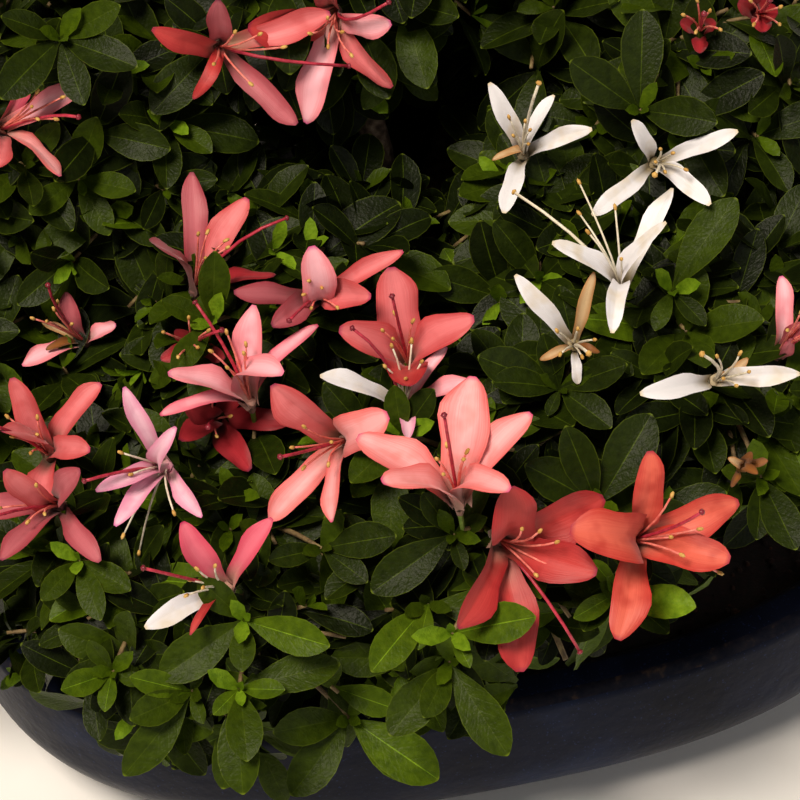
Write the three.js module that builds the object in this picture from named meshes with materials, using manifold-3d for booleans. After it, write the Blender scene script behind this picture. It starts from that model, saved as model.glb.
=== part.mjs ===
// A spider azalea grown as a low, spreading shrub in a rounded oval pot. Millimetres, +Z up.
// The origin is the centre of the pot's flat underside. The pot's long side runs along X, its front is -Y.

import * as THREE from "three";
import { mergeVertices } from "three/addons/utils/BufferGeometryUtils.js";
import Module from "manifold-3d";

const wasm = await Module();
wasm.setup();

// Pot
const POT_LENGTH = 312;
const POT_WIDTH = 232;
const POT_HEIGHT = 68;
const OVAL_POWER = 2.6; // 2 is an ellipse, and a higher power squares the corners
const RIM_WIDTH = 13;
const RIM_OUTER_ROUND = 5;
const RIM_INNER_ROUND = 4;
const BELLY_HEIGHT = 38; // above this the outer wall is upright
const BELLY_INSET = 30;
const FOOT_INSET = 34;
const FOOT_HEIGHT = 7;
const FLOOR_HEIGHT = 12;
const FLOOR_INSET = 44;
const INNER_BELLY_HEIGHT = 40;
const INNER_DRAFT = 1; // how far the inner wall comes in from the rim to its belly
const POT_SIDES = 36;
const BELLY_STEPS = 4; // straight pieces in each round of the pot's section
const INNER_BELLY_STEPS = 3;
const RIM_STEPS = 2;

// Soil
const SOIL_TOP = 58;
const FIT_GAP = 0.3;

// Trunk, from a flat cut on the soil to the fork
const TRUNK_FOOT = new THREE.Vector3(8, 4, SOIL_TOP);
const TRUNK_LEAN = new THREE.Vector3(-13, 9, 0);
const TRUNK_RISE = 60;
const TRUNK_FOOT_RADIUS = 21;
const TRUNK_FORK_RADIUS = 14;
const FLARE_RADIUS = 13;
const FLARE_HEIGHT = 11;
const FLARE_LOBES = 5;
const FLARE_LOBE_SHARE = 0.4;
const TRUNK_BENDS = [
  { lean: 0.1, rise: 0.3 },
  { lean: 0.75, rise: 0.68 },
];
const TRUNK_SIDES = 20;
const TRUNK_STEPS = 9;

// Boughs, one to each mass
const LOW_BOUGH_RADIUS = 6;
const HIGH_BOUGH_RADIUS = 6.8;
const BOUGH_TIP_SHARE = 0.52;
const BOUGH_SIDES = 6;
const BOUGH_STEPS = 5;
const BOUGH_SAG = 9;
const BOUGH_SWAY = 0.05; // to one side, as a share of its run
const BOUGH_BENDS = [
  { share: 0.35, lift: 1 },
  { share: 0.7, lift: 0.8 },
];
const BOUGH_END_SHARE = 0.74; // where it ends in the mass, as a share of the mass's radius
const LOW_FORKS = [0.5, 0.7]; // where low boughs leave the trunk by turns, as shares of its length
const HIGH_FORK = 0.88;
const HIGH_MASS_RISE = 25; // a mass this far above the trunk's top has a high bough
const LEADER_SINK = 4; // the leader's start below the trunk's top

// Foliage masses. A centre lies on an oval ring round the pot's middle, at a bearing from +X in degrees,
// a share of the ring's reach, and a height. Half sizes are along X, Y and Z.
const RING_LONG = 142;
const RING_WIDE = 94;
const MASSES = [
  { name: "front_left", bearing: -121, reach: 1.02, height: 114, half: [66, 58, 42] },
  { name: "front_middle", bearing: -88, reach: 0.92, height: 120, half: [62, 58, 46] },
  { name: "front_right", bearing: -51, reach: 0.8, height: 138, half: [62, 56, 42] },
  { name: "right", bearing: 2, reach: 0.97, height: 126, half: [62, 62, 44] },
  { name: "back_right", bearing: 56, reach: 1.03, height: 124, half: [62, 56, 44] },
  { name: "back_middle", bearing: 92, reach: 1.08, height: 120, half: [58, 52, 42] },
  { name: "back_left", bearing: 127, reach: 1.06, height: 122, half: [62, 56, 42] },
  { name: "left", bearing: 183, reach: 1.02, height: 120, half: [60, 62, 44] },
  { name: "inner_left", bearing: -139, reach: 0.38, height: 150, half: [54, 48, 38] },
  { name: "inner_right", bearing: -31, reach: 0.34, height: 152, half: [52, 46, 36] },
  { name: "upper_left", bearing: 148, reach: 0.76, height: 186, half: [60, 56, 46] },
  { name: "upper_right", bearing: 22, reach: 0.58, height: 182, half: [60, 58, 44] },
  { name: "upper_back", bearing: 70, reach: 0.92, height: 174, half: [58, 48, 42] },
  { name: "apex", bearing: 97, reach: 0.5, height: 226, half: [60, 54, 48] },
];
const CORE_SHARE = 0.82; // of the mass's own reach
const CORE_GAP = 2; // from a core to the flat sides of its mass's space
const CORE_LUMP = 0.05; // how far its lumps stand out, as a share of its reach
const CORE_LUMP_RATE = 5;
const CORE_DETAIL = 1;
const CELL_GAP = 0.6; // between two masses
const LIMB_GAP = 3; // from a leaf to a bough or the trunk
const LIMB_STATION = 3; // between the points of a limb that leaves are held clear of
const POT_GAP = 3; // from a leaf to the pot or the soil
const TESTED_SHARES = [0.33, 0.66, 1]; // where a piece is tested, from its root to each corner
const FIRST_SEED = 43;
const SEED_STEP = 17; // from one mass's seed to the next

// Twigs
const STEM_OVERSHOOT = 0.35; // how far the stem runs on past the mass's centre, as a share of its run
const STEM_RADIUS = 3.2;
const STEM_TIP_RADIUS = 2;
const STEM_SIDES = 5;
const TWIGS_TRIED = 30; // directions tried in each mass
const TWIG_ROOM = 35; // from one twig's tip to the next
const TWIG_BACKSET = 0.4; // how far back towards the bough a twig leaves the stem
const TIP_NEAREST = 0.86; // a twig ends between here and the mass's surface
const TWIG_FOOT_RADIUS = 2;
const TWIG_TIP_RADIUS = 1.7;
const TWIG_SIDES = 3;

// Leaves and blossom
const LEAF_LENGTH = 38;
const LEAF_WIDTH = 18;
const LEAF_WIDEST = 0.55;
const LEAF_PITCH = 74;
const LEAF_SPACING = 2.4; // between leaves along their twig
const LEAF_ROOM = 5; // from a leaf's corners to those on other twigs
const LEAVES_PER_TWIG = 5;
const LEAVES_UNDER_BLOSSOM = 2;
const BLOSSOM_SHARE = 0.45;
const PETALS = 5;
const PETAL_LENGTH = 31;
const PETAL_WIDTH = 10;
const PETAL_WIDEST = 0.62;
const PETAL_PITCH = 52;
const PETAL_SPACING = 1.6; // between petals along the flower's tube
const PETAL_ROOM = 7; // from a petal's corners to those on other twigs
const TUBE_LENGTH = 9;
const STYLE_LENGTH = 30; // past the mouth of the tube
const STYLE_TIP_RADIUS = 0.9;
const BLADE_THICKNESS = 1.2; // a leaf's or petal's
const SMALLEST_BLADE = 0.85;
const LARGEST_BLADE = 1.1;
const PITCH_SPREAD = 12; // degrees
const SECOND_TRY = 0.68; // a refused leaf's or petal's second size
const FIRST_ROOT = 0.7; // from a twig's tip to its first blade, in spacings
const ROOT_SINK = 0.2; // past the middle of the twig
const GOLDEN_ANGLE = Math.PI * (3 - Math.sqrt(5));

const UP = new THREE.Vector3(0, 0, 1);
const MERGE_DISTANCE = 1e-4; // corners nearer than this are one

const glaze = new THREE.MeshStandardMaterial({ color: "#1d2744", roughness: 0.22, metalness: 0 });
const earth = new THREE.MeshStandardMaterial({ color: "#2c1a13", roughness: 0.95, metalness: 0 });
const bark = new THREE.MeshStandardMaterial({ color: "#5e4a3a", roughness: 0.9, metalness: 0 });
const foliage = new THREE.MeshStandardMaterial({ color: "#3f6a26", roughness: 0.5, metalness: 0 });

const group = new THREE.Group();

// A seeded run of even numbers from 0 to 1.
function dice(seed) {
  let state = seed;
  return () => {
    state = (state * 1664525 + 1013904223) % 4294967296;
    return state / 4294967296;
  };
}

// A closed geometry as a solid that can be joined and cut.
function solid(geometry) {
  geometry.deleteAttribute("normal");
  geometry.deleteAttribute("uv");
  const merged = mergeVertices(geometry, MERGE_DISTANCE);
  return new wasm.Manifold(
    new wasm.Mesh({
      numProp: 3,
      vertProperties: new Float32Array(merged.getAttribute("position").array),
      triVerts: new Uint32Array(merged.index.array),
    }),
  );
}

// The largest body of a solid: loose scraps go, and a hollow sealed by fusing is filled.
function mainBody(made) {
  return made.decompose().reduce((best, body) => (body.volume() > best.volume() ? body : best));
}

function addPart(name, made, material) {
  const mesh = made.getMesh();
  const geometry = new THREE.BufferGeometry();
  geometry.setAttribute("position", new THREE.BufferAttribute(new Float32Array(mesh.vertProperties), 3));
  geometry.setIndex(new THREE.BufferAttribute(new Uint32Array(mesh.triVerts), 1));
  geometry.computeVertexNormals();
  const part = new THREE.Mesh(geometry, material);
  part.name = name;
  group.add(part);
}

function moveVertices(geometry, move) {
  const place = geometry.getAttribute("position");
  const point = new THREE.Vector3();
  for (let i = 0; i < place.count; i += 1) {
    point.fromBufferAttribute(place, i);
    move(point);
    place.setXYZ(i, point.x, point.y, point.z);
  }
  return geometry;
}

// Pot and soil: a turned profile, pushed out to the oval

// How far round the oval a point lies: under 1 inside the pot's outline, over 1 outside it.
function ovalMeasure(point) {
  const alongLength = Math.abs(point.x / (POT_LENGTH / 2)) ** OVAL_POWER;
  const alongWidth = Math.abs(point.y / (POT_WIDTH / 2)) ** OVAL_POWER;
  return (alongLength + alongWidth) ** (1 / OVAL_POWER);
}

function signedPower(value, power) {
  return Math.sign(value) * Math.abs(value) ** power;
}

// Turns a profile of points, each an inset from the rim's outline and a height. An inset of half the
// length is the axis.
function turnedOval(profile) {
  const longHalf = POT_LENGTH / 2;
  const wideHalf = POT_WIDTH / 2;
  const flatRadius = longHalf - FLOOR_INSET;
  const turned = new THREE.LatheGeometry(
    profile.map(([inset, height]) => new THREE.Vector2(longHalf - inset, height)),
    POT_SIDES,
  );
  turned.rotateX(Math.PI / 2);
  return moveVertices(turned, (point) => {
    const radius = Math.hypot(point.x, point.y);
    const angle = Math.atan2(point.y, point.x);
    const squeeze = (wideHalf - FLOOR_INSET) / flatRadius;
    const wide = radius < flatRadius ? radius * squeeze : wideHalf - longHalf + radius;
    point.x = radius * signedPower(Math.cos(angle), 2 / OVAL_POWER);
    point.y = wide * signedPower(Math.sin(angle), 2 / OVAL_POWER);
  });
}

// Points on a quarter of an ellipse about a centre, between two angles in degrees.
function arc(centreInset, centreHeight, across, rise, from, to, steps) {
  return Array.from({ length: steps + 1 }, (_, i) => {
    const angle = THREE.MathUtils.degToRad(from + ((to - from) * i) / steps);
    return [centreInset + across * Math.cos(angle), centreHeight + rise * Math.sin(angle)];
  });
}

function outerWall() {
  const bellyRise = BELLY_HEIGHT - FOOT_HEIGHT;
  const rimRound = RIM_OUTER_ROUND;
  return [
    [POT_LENGTH / 2, 0],
    [FOOT_INSET, 0],
    ...arc(BELLY_INSET, BELLY_HEIGHT, BELLY_INSET, bellyRise, 270, 180, BELLY_STEPS),
    ...arc(rimRound, POT_HEIGHT - rimRound, rimRound, rimRound, 180, 90, RIM_STEPS),
  ];
}

// The inside of the wall, grown inwards by a gap, from the rim down to the floor's edge.
function innerWall(gap) {
  const across = FLOOR_INSET - RIM_WIDTH - INNER_DRAFT;
  const rise = INNER_BELLY_HEIGHT - FLOOR_HEIGHT;
  return arc(FLOOR_INSET, INNER_BELLY_HEIGHT, across - gap, rise - gap, 180, 270, INNER_BELLY_STEPS);
}

function buildPot() {
  const round = RIM_INNER_ROUND;
  const profile = [
    ...outerWall(),
    ...arc(RIM_WIDTH - round, POT_HEIGHT - round, round, round, 90, 0, RIM_STEPS),
    ...innerWall(0),
    [POT_LENGTH / 2, FLOOR_HEIGHT],
  ];
  return solid(turnedOval(profile));
}

function buildSoil() {
  const [topInset] = innerWall(FIT_GAP)[0];
  const profile = [
    [POT_LENGTH / 2, SOIL_TOP],
    [topInset, SOIL_TOP],
    ...innerWall(FIT_GAP),
    [POT_LENGTH / 2, FLOOR_HEIGHT + FIT_GAP],
  ];
  return solid(turnedOval(profile.reverse()));
}

// Limbs: a tapering cylinder bent along a curve

const limbStations = [];

function limbGeometry(curve, radiusAt, sides, steps) {
  const frames = curve.computeFrenetFrames(steps);
  return moveVertices(new THREE.CylinderGeometry(1, 1, 1, sides, steps), (point) => {
    const along = point.y + 0.5;
    const station = Math.round(along * steps);
    const angle = Math.atan2(point.x, point.z);
    const reach = Math.hypot(point.x, point.z) * radiusAt(along, angle);
    point.copy(curve.getPointAt(along));
    point.addScaledVector(frames.binormals[station], Math.sin(angle) * reach);
    point.addScaledVector(frames.normals[station], Math.cos(angle) * reach);
  });
}

function keepClearOf(curve, radiusAt) {
  const stations = Math.ceil(curve.getLength() / LIMB_STATION);
  for (let i = 0; i <= stations; i += 1) {
    const along = i / stations;
    limbStations.push({ at: curve.getPointAt(along), radius: radiusAt(along, 0) });
  }
}

function clearOfLimbs(point) {
  return limbStations.every(({ at, radius }) => at.distanceTo(point) > radius + LIMB_GAP);
}

function clearOfPot(point) {
  const outside = ovalMeasure(point) > 1 + (2 * POT_GAP) / POT_WIDTH;
  return point.z > POT_HEIGHT + POT_GAP || (outside && point.z > POT_GAP);
}

const trunkTop = TRUNK_FOOT.clone().add(TRUNK_LEAN).addScaledVector(UP, TRUNK_RISE);
const trunkCurve = new THREE.CatmullRomCurve3([
  TRUNK_FOOT.clone().addScaledVector(UP, -FLARE_HEIGHT),
  ...TRUNK_BENDS.map(({ lean, rise }) =>
    TRUNK_FOOT.clone().addScaledVector(TRUNK_LEAN, lean).addScaledVector(UP, TRUNK_RISE * rise),
  ),
  trunkTop,
]);

function trunkRadius(along, angle) {
  const height = Math.max(0, along * (TRUNK_RISE + FLARE_HEIGHT) - FLARE_HEIGHT);
  const taper = THREE.MathUtils.lerp(TRUNK_FOOT_RADIUS, TRUNK_FORK_RADIUS, height / TRUNK_RISE);
  const lobes = 1 + FLARE_LOBE_SHARE * Math.cos(FLARE_LOBES * angle);
  return taper + FLARE_RADIUS * Math.exp(-height / FLARE_HEIGHT) * lobes;
}

// The trunk, grown outwards by a margin and cut flat at the soil.
function buildTrunk(extra) {
  const radiusAt = (along, angle) => trunkRadius(along, angle) + extra;
  const whole = solid(limbGeometry(trunkCurve, radiusAt, TRUNK_SIDES, TRUNK_STEPS));
  const ground = new THREE.BoxGeometry(2 * POT_WIDTH, 2 * POT_WIDTH, POT_HEIGHT);
  ground.translate(0, 0, SOIL_TOP + FIT_GAP - extra - POT_HEIGHT / 2);
  return mainBody(whole.subtract(solid(ground)));
}

// Masses: where each lies, and where its bough runs

function placeMass(row, index) {
  const bearing = THREE.MathUtils.degToRad(row.bearing);
  const centre = new THREE.Vector3(
    row.reach * RING_LONG * Math.cos(bearing),
    row.reach * RING_WIDE * Math.sin(bearing),
    row.height,
  );
  const half = new THREE.Vector3(...row.half);
  const cellRadius = (half.x + half.y + half.z) / 3;
  const high = row.height > trunkTop.z + HIGH_MASS_RISE;
  return { ...row, index, centre, half, cellRadius, high };
}

const masses = MASSES.map(placeMass);

// How far inside its own mass's space a point lies, measured from the flat side it is nearest to.
function depthInCell(mass, point) {
  const power = (other) => point.distanceToSquared(other.centre) - other.cellRadius ** 2;
  return masses
    .filter((other) => other !== mass)
    .reduce((least, other) => {
      const apart = 2 * mass.centre.distanceTo(other.centre);
      return Math.min(least, (power(other) - power(mass)) / apart);
    }, Infinity);
}

// The distance from a mass's centre to its ellipsoid's surface, along a direction.
function surfaceReach(mass, direction) {
  return 1 / direction.clone().divide(mass.half).length();
}

// How far a core may reach from a mass's centre along a direction: to just short of the flat side of the
// mass's space that it meets first.
function roomAlong(mass, direction) {
  return masses
    .filter((other) => other !== mass)
    .reduce((least, other) => {
      const apart = other.centre.clone().sub(mass.centre);
      const unlike = mass.cellRadius ** 2 - other.cellRadius ** 2;
      const toFlat = (apart.lengthSq() + unlike) / (2 * apart.length());
      const slope = direction.dot(apart.normalize());
      return slope > 0 ? Math.min(least, (toFlat - CORE_GAP) / slope) : least;
    }, Infinity);
}

// Where a bough that starts at a point of the trunk ends inside its mass.
function boughEnd(mass, start) {
  const inwards = start.clone().sub(mass.centre).normalize();
  return mass.centre.clone().addScaledVector(inwards, BOUGH_END_SHARE * surfaceReach(mass, inwards));
}

// A low bough rises from the trunk and levels out, and a high one sags first and then climbs.
function boughCurve(mass) {
  const odd = mass.index % 2;
  const start = trunkCurve.getPointAt(mass.high ? HIGH_FORK : LOW_FORKS[odd]);
  const end = boughEnd(mass, start);
  const run = end.clone().sub(start);
  const sag = mass.high ? -BOUGH_SAG : BOUGH_SAG;
  const swayLength = BOUGH_SWAY * run.length() * (odd ? 1 : -1);
  const sway = new THREE.Vector3().crossVectors(run, UP).setLength(swayLength);
  const bends = BOUGH_BENDS.map(({ share, lift }) =>
    start.clone().addScaledVector(run, share).addScaledVector(UP, sag * lift).addScaledVector(sway, lift),
  );
  return new THREE.CatmullRomCurve3([start, ...bends, end]);
}

// The leader runs on from the top of the trunk.
function leaderCurve(mass) {
  const start = trunkTop.clone().addScaledVector(UP, -LEADER_SINK);
  const end = boughEnd(mass, start);
  const middle = start.clone().lerp(end, 0.5).addScaledVector(UP, BOUGH_SAG / 2);
  return new THREE.CatmullRomCurve3([start, middle, end]);
}

function boughRadius(mass) {
  const foot = mass.high ? HIGH_BOUGH_RADIUS : LOW_BOUGH_RADIUS;
  return (along) => foot * THREE.MathUtils.lerp(1, BOUGH_TIP_SHARE, along);
}

// Foliage

// Directions spread evenly over a sphere, turned by the seed.
function evenDirections(count, turn) {
  return Array.from({ length: count }, (_, i) => {
    const rise = 1 - (2 * (i + 0.5)) / count;
    const level = Math.sqrt(1 - rise * rise);
    const angle = i * GOLDEN_ANGLE + turn;
    return new THREE.Vector3(level * Math.cos(angle), level * Math.sin(angle), rise);
  });
}

// A straight tapering rod from one point to another.
function rod(from, to, footRadius, tipRadius, sides) {
  const run = to.clone().sub(from);
  const length = run.length();
  const turned = new THREE.Quaternion().setFromUnitVectors(new THREE.Vector3(0, 1, 0), run.normalize());
  const middle = from.clone().lerp(to, 0.5);
  const geometry = new THREE.CylinderGeometry(tipRadius, footRadius, length, sides);
  return geometry.applyQuaternion(turned).translate(middle.x, middle.y, middle.z);
}

// A blade of eight faces, pointed at both ends: its root at the origin, its length along X, its face up.
function blade(length, width, widest) {
  return moveVertices(new THREE.OctahedronGeometry(1), (point) => {
    const onAxis = Math.abs(point.x) > 0.5;
    point.x = length * (onAxis ? (point.x + 1) / 2 : widest);
    point.y *= width / 2;
    point.z *= BLADE_THICKNESS / 2;
  });
}

const leafSet = {
  shape: blade(LEAF_LENGTH, LEAF_WIDTH, LEAF_WIDEST),
  spacing: LEAF_SPACING,
  step: GOLDEN_ANGLE,
  pitch: LEAF_PITCH,
  room: LEAF_ROOM,
};
const petalSet = {
  shape: blade(PETAL_LENGTH, PETAL_WIDTH, PETAL_WIDEST),
  spacing: PETAL_SPACING,
  step: (2 * Math.PI) / PETALS,
  pitch: PETAL_PITCH,
  room: PETAL_ROOM,
};

// A blade set on an axis like a spoke that is pitched away from it, its face towards the axis's end.
function setBlade(shape, root, axis, turn, pitch, size) {
  const side = new THREE.Vector3(1, 0, 0).cross(axis).normalize();
  if (side.lengthSq() < 0.5) side.set(0, 1, 0);
  side.applyAxisAngle(axis, turn);
  const along = axis.clone().multiplyScalar(Math.cos(pitch)).addScaledVector(side, Math.sin(pitch));
  const across = new THREE.Vector3().crossVectors(axis, along).normalize();
  const face = new THREE.Vector3().crossVectors(along, across);
  const place = new THREE.Matrix4().makeBasis(along, across, face);
  place.scale(new THREE.Vector3(size, size, 1));
  place.setPosition(root.clone().addScaledVector(along, -ROOT_SINK));
  return shape.clone().applyMatrix4(place);
}

// Whether every corner of a piece, and points along it from its root, are inside the mass's space.
function fits(mass, geometry, root) {
  const place = geometry.getAttribute("position");
  const corner = new THREE.Vector3();
  for (let i = 0; i < place.count; i += 1) {
    corner.fromBufferAttribute(place, i);
    if (depthInCell(mass, corner) < CELL_GAP / 2) return false;
    for (const share of TESTED_SHARES) {
      const sample = root.clone().lerp(corner, share);
      if (!clearOfPot(sample) || !clearOfLimbs(sample)) return false;
    }
  }
  return true;
}

// The dense inside of a mass: a ball drawn out to the mass's form, with lumps.
function buildCore(mass, roll) {
  const phases = new THREE.Vector3(roll(), roll(), roll()).multiplyScalar(2 * Math.PI);
  const core = new THREE.IcosahedronGeometry(1, CORE_DETAIL);
  return solid(
    moveVertices(core, (point) => {
      const direction = point.clone().normalize();
      const angles = direction.clone().multiplyScalar(CORE_LUMP_RATE).add(phases);
      const lump = Math.sin(angles.x) + Math.sin(angles.y) + Math.sin(angles.z);
      const wanted = CORE_SHARE * (1 + CORE_LUMP * lump) * surfaceReach(mass, direction);
      point.copy(mass.centre).addScaledVector(direction, Math.min(wanted, roomAlong(mass, direction)));
    }),
  );
}

function corners(geometry) {
  const place = geometry.getAttribute("position");
  return Array.from({ length: place.count }, (_, i) => new THREE.Vector3().fromBufferAttribute(place, i));
}

// Blades along a twig, from its tip back, each turned on from the one before. A blade that is refused
// at its own size is tried once more at a smaller one, and left out if that is refused too.
function setBlades(mass, set, count, twig, roll, taken) {
  const hasRoom = (piece) =>
    corners(piece).every((corner) => taken.every((other) => other.distanceTo(corner) > set.room));
  const blades = [];
  for (let k = 0; k < count; k += 1) {
    const root = twig.tip.clone().addScaledVector(twig.axis, -(k + FIRST_ROOT) * set.spacing);
    const pitch = THREE.MathUtils.degToRad(set.pitch + PITCH_SPREAD * (roll() - 0.5));
    const size = THREE.MathUtils.lerp(SMALLEST_BLADE, LARGEST_BLADE, roll());
    const turn = twig.turn + k * set.step;
    const tries = [size, size * SECOND_TRY].map((scale) =>
      setBlade(set.shape, root, twig.axis, turn, pitch, scale),
    );
    blades.push(...tries.filter((piece) => hasRoom(piece) && fits(mass, piece, root)).slice(0, 1));
  }
  return blades;
}

// A flower's petals and its long style, round the mouth of its tube. None, where they find no room.
function buildFlower(mass, twig, roll, taken) {
  const petals = setBlades(mass, petalSet, PETALS, twig, roll, taken);
  const styleEnd = twig.tip.clone().addScaledVector(twig.axis, STYLE_LENGTH);
  const style = rod(twig.tip, styleEnd, TWIG_TIP_RADIUS, STYLE_TIP_RADIUS, TWIG_SIDES);
  const whole = petals.length >= PETALS - 1 && fits(mass, style, twig.tip);
  return whole ? [...petals, style] : [];
}

// A twig from the stem towards a direction, with its leaves or its flower. Nothing, where either the
// twig or its leaves find no room.
function buildTwig(mass, stem, direction, roll, tips, taken) {
  const reach = surfaceReach(mass, direction) * THREE.MathUtils.lerp(TIP_NEAREST, 1, roll());
  const tip = mass.centre.clone().addScaledVector(direction, reach);
  if (tips.some((other) => other.distanceTo(tip) < TWIG_ROOM)) return [];
  const near = stem.closestPointToPoint(tip, true, new THREE.Vector3());
  const foot = near.lerp(stem.start, TWIG_BACKSET);
  const axis = tip.clone().sub(foot).normalize();
  const turn = roll() * 2 * Math.PI;
  const mouth = tip.clone().addScaledVector(axis, TUBE_LENGTH);
  const tried = roll() < BLOSSOM_SHARE;
  const flower = tried ? buildFlower(mass, { tip: mouth, axis, turn }, roll, taken) : [];
  const blooms = flower.length > 0;
  const leafCount = blooms ? LEAVES_UNDER_BLOSSOM : LEAVES_PER_TWIG;
  const leaves = setBlades(mass, leafSet, leafCount, { tip, axis, turn }, roll, taken);
  const pieces = [...leaves, ...flower];
  const twig = rod(foot, blooms ? mouth : tip, TWIG_FOOT_RADIUS, TWIG_TIP_RADIUS, TWIG_SIDES);
  if (pieces.length < 2 || !fits(mass, twig, tip)) return [];
  tips.push(tip);
  taken.push(...pieces.flatMap(corners));
  return [twig, ...pieces];
}

function buildMass(mass, bough, limbs) {
  const roll = dice(FIRST_SEED + SEED_STEP * mass.index);
  const stemFoot = bough.getPointAt(1);
  const stemEnd = mass.centre.clone().lerp(stemFoot, -STEM_OVERSHOOT);
  const stem = new THREE.Line3(stemFoot, stemEnd);
  const pieces = [rod(stemFoot, stemEnd, STEM_RADIUS, STEM_TIP_RADIUS, STEM_SIDES)];
  const tips = [];
  const taken = [];
  for (const direction of evenDirections(TWIGS_TRIED, roll() * 2 * Math.PI)) {
    pieces.push(...buildTwig(mass, stem, direction, roll, tips, taken));
  }
  const joined = wasm.Manifold.union([buildCore(mass, roll), ...pieces.map(solid)]);
  return mainBody(joined.subtract(limbs));
}

// The whole plant

addPart("pot", buildPot(), glaze);
addPart("soil", buildSoil(), earth);
addPart("trunk", buildTrunk(0), bark);
keepClearOf(trunkCurve, trunkRadius);

const boughs = masses.map((mass) => (mass.name === "apex" ? leaderCurve(mass) : boughCurve(mass)));
let grownLimbs = buildTrunk(FIT_GAP);
masses.forEach((mass, i) => {
  const radius = boughRadius(mass);
  const whole = solid(limbGeometry(boughs[i], radius, BOUGH_SIDES, BOUGH_STEPS));
  addPart(`bough_${mass.name}`, mainBody(whole.subtract(grownLimbs)), bark);
  const longer = new THREE.CatmullRomCurve3([...boughs[i].points]);
  const tipRun = boughs[i].getTangentAt(1).multiplyScalar(FIT_GAP);
  longer.points[longer.points.length - 1] = boughs[i].getPointAt(1).add(tipRun);
  const grown = solid(limbGeometry(longer, (along) => radius(along) + FIT_GAP, BOUGH_SIDES, BOUGH_STEPS));
  grownLimbs = grownLimbs.add(grown);
  keepClearOf(boughs[i], radius);
});

masses.forEach((mass, i) => {
  addPart(`foliage_${mass.name}`, buildMass(mass, boughs[i], grownLimbs), foliage);
});

export default group;
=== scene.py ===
# %% [markdown]
# A spider azalea in bloom, grown low and wide as a small shrub in a shallow glazed pot.
# The CAD model gives the pot, the trunk, the boughs and the space that each mass of foliage keeps to.
# Here each of them gets the surface of the real thing: glaze, soil, bark, some ten thousand leaves on
# fine twigs, and blossom with narrow petals.

# %% The frame
import math

import bmesh
import bpy
import numpy as np
from mathutils import Matrix, Vector, noise


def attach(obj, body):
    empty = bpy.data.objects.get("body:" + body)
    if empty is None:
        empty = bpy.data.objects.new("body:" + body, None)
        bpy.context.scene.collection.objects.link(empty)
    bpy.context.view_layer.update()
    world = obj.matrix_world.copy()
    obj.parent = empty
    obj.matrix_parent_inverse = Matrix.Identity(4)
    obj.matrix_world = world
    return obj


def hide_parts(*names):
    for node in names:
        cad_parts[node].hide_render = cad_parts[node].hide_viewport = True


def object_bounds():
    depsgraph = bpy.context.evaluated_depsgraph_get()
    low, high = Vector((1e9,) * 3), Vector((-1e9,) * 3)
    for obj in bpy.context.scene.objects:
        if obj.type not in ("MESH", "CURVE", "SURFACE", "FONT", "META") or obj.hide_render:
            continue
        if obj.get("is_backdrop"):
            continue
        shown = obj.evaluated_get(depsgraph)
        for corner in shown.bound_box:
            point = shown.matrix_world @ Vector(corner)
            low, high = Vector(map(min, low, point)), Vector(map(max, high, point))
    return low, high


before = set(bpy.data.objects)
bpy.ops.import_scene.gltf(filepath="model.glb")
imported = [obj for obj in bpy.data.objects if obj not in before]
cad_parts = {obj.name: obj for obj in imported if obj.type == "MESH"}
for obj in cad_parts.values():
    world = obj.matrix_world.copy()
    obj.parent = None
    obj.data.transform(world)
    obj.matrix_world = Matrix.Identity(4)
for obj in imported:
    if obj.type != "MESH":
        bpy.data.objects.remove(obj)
cad_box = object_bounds()
print("CAD nodes:", len(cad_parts))

# %% [markdown]
# Lengths are worked out in millimetres, as a gardener measures them, and turned to metres once, when a
# mesh is made. All that is random comes from one seeded generator, so each run grows the same plant.

# %% Lengths and chance
MM = 0.001
SEED = 11
chance = np.random.default_rng(SEED)
UP = np.array([0.0, 0.0, 1.0])
GOLDEN_ANGLE = math.pi * (3 - math.sqrt(5))


def unit(vectors):
    """Vectors cut or stretched to length 1."""
    return vectors / np.maximum(np.linalg.norm(vectors, axis=-1, keepdims=True), 1e-9)


def between(low, high, count=None):
    """A random number from low to high, or an array of them."""
    return chance.uniform(low, high, count)


# %% [markdown]
# The camera looks down on the front of the plant at about 48 degrees, a little from the left and tipped a
# little over. Its place was found by fitting the pot's oval rim. A long lens at 65 cm keeps the depth flat,
# and where it is aimed a pixel spans 0.27 mm.

# %% Camera
PICTURE_SIDE = 800
TARGET = np.array([-16.4, -66.8, 150.0])
CAMERA_AZIMUTH = math.radians(-6.2)
CAMERA_ELEVATION = math.radians(47.8)
CAMERA_ROLL = math.radians(5.6)
CAMERA_DISTANCE = 650.0
PIXEL_AT_TARGET = 0.27
SENSOR_WIDTH = 36.0

level = math.cos(CAMERA_ELEVATION)
BACK = np.array(
    [math.sin(CAMERA_AZIMUTH) * level, -math.cos(CAMERA_AZIMUTH) * level, math.sin(CAMERA_ELEVATION)]
)
flat_right = np.array([math.cos(CAMERA_AZIMUTH), math.sin(CAMERA_AZIMUTH), 0.0])
flat_up = np.cross(BACK, flat_right)
RIGHT = math.cos(CAMERA_ROLL) * flat_right - math.sin(CAMERA_ROLL) * flat_up
OVER = math.sin(CAMERA_ROLL) * flat_right + math.cos(CAMERA_ROLL) * flat_up
EYE = TARGET + CAMERA_DISTANCE * BACK


def put_in_scene(name, data):
    """An object for a camera, a mesh or a light, at the origin."""
    made = bpy.data.objects.new(name, data)
    bpy.context.scene.collection.objects.link(made)
    return made


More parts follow.
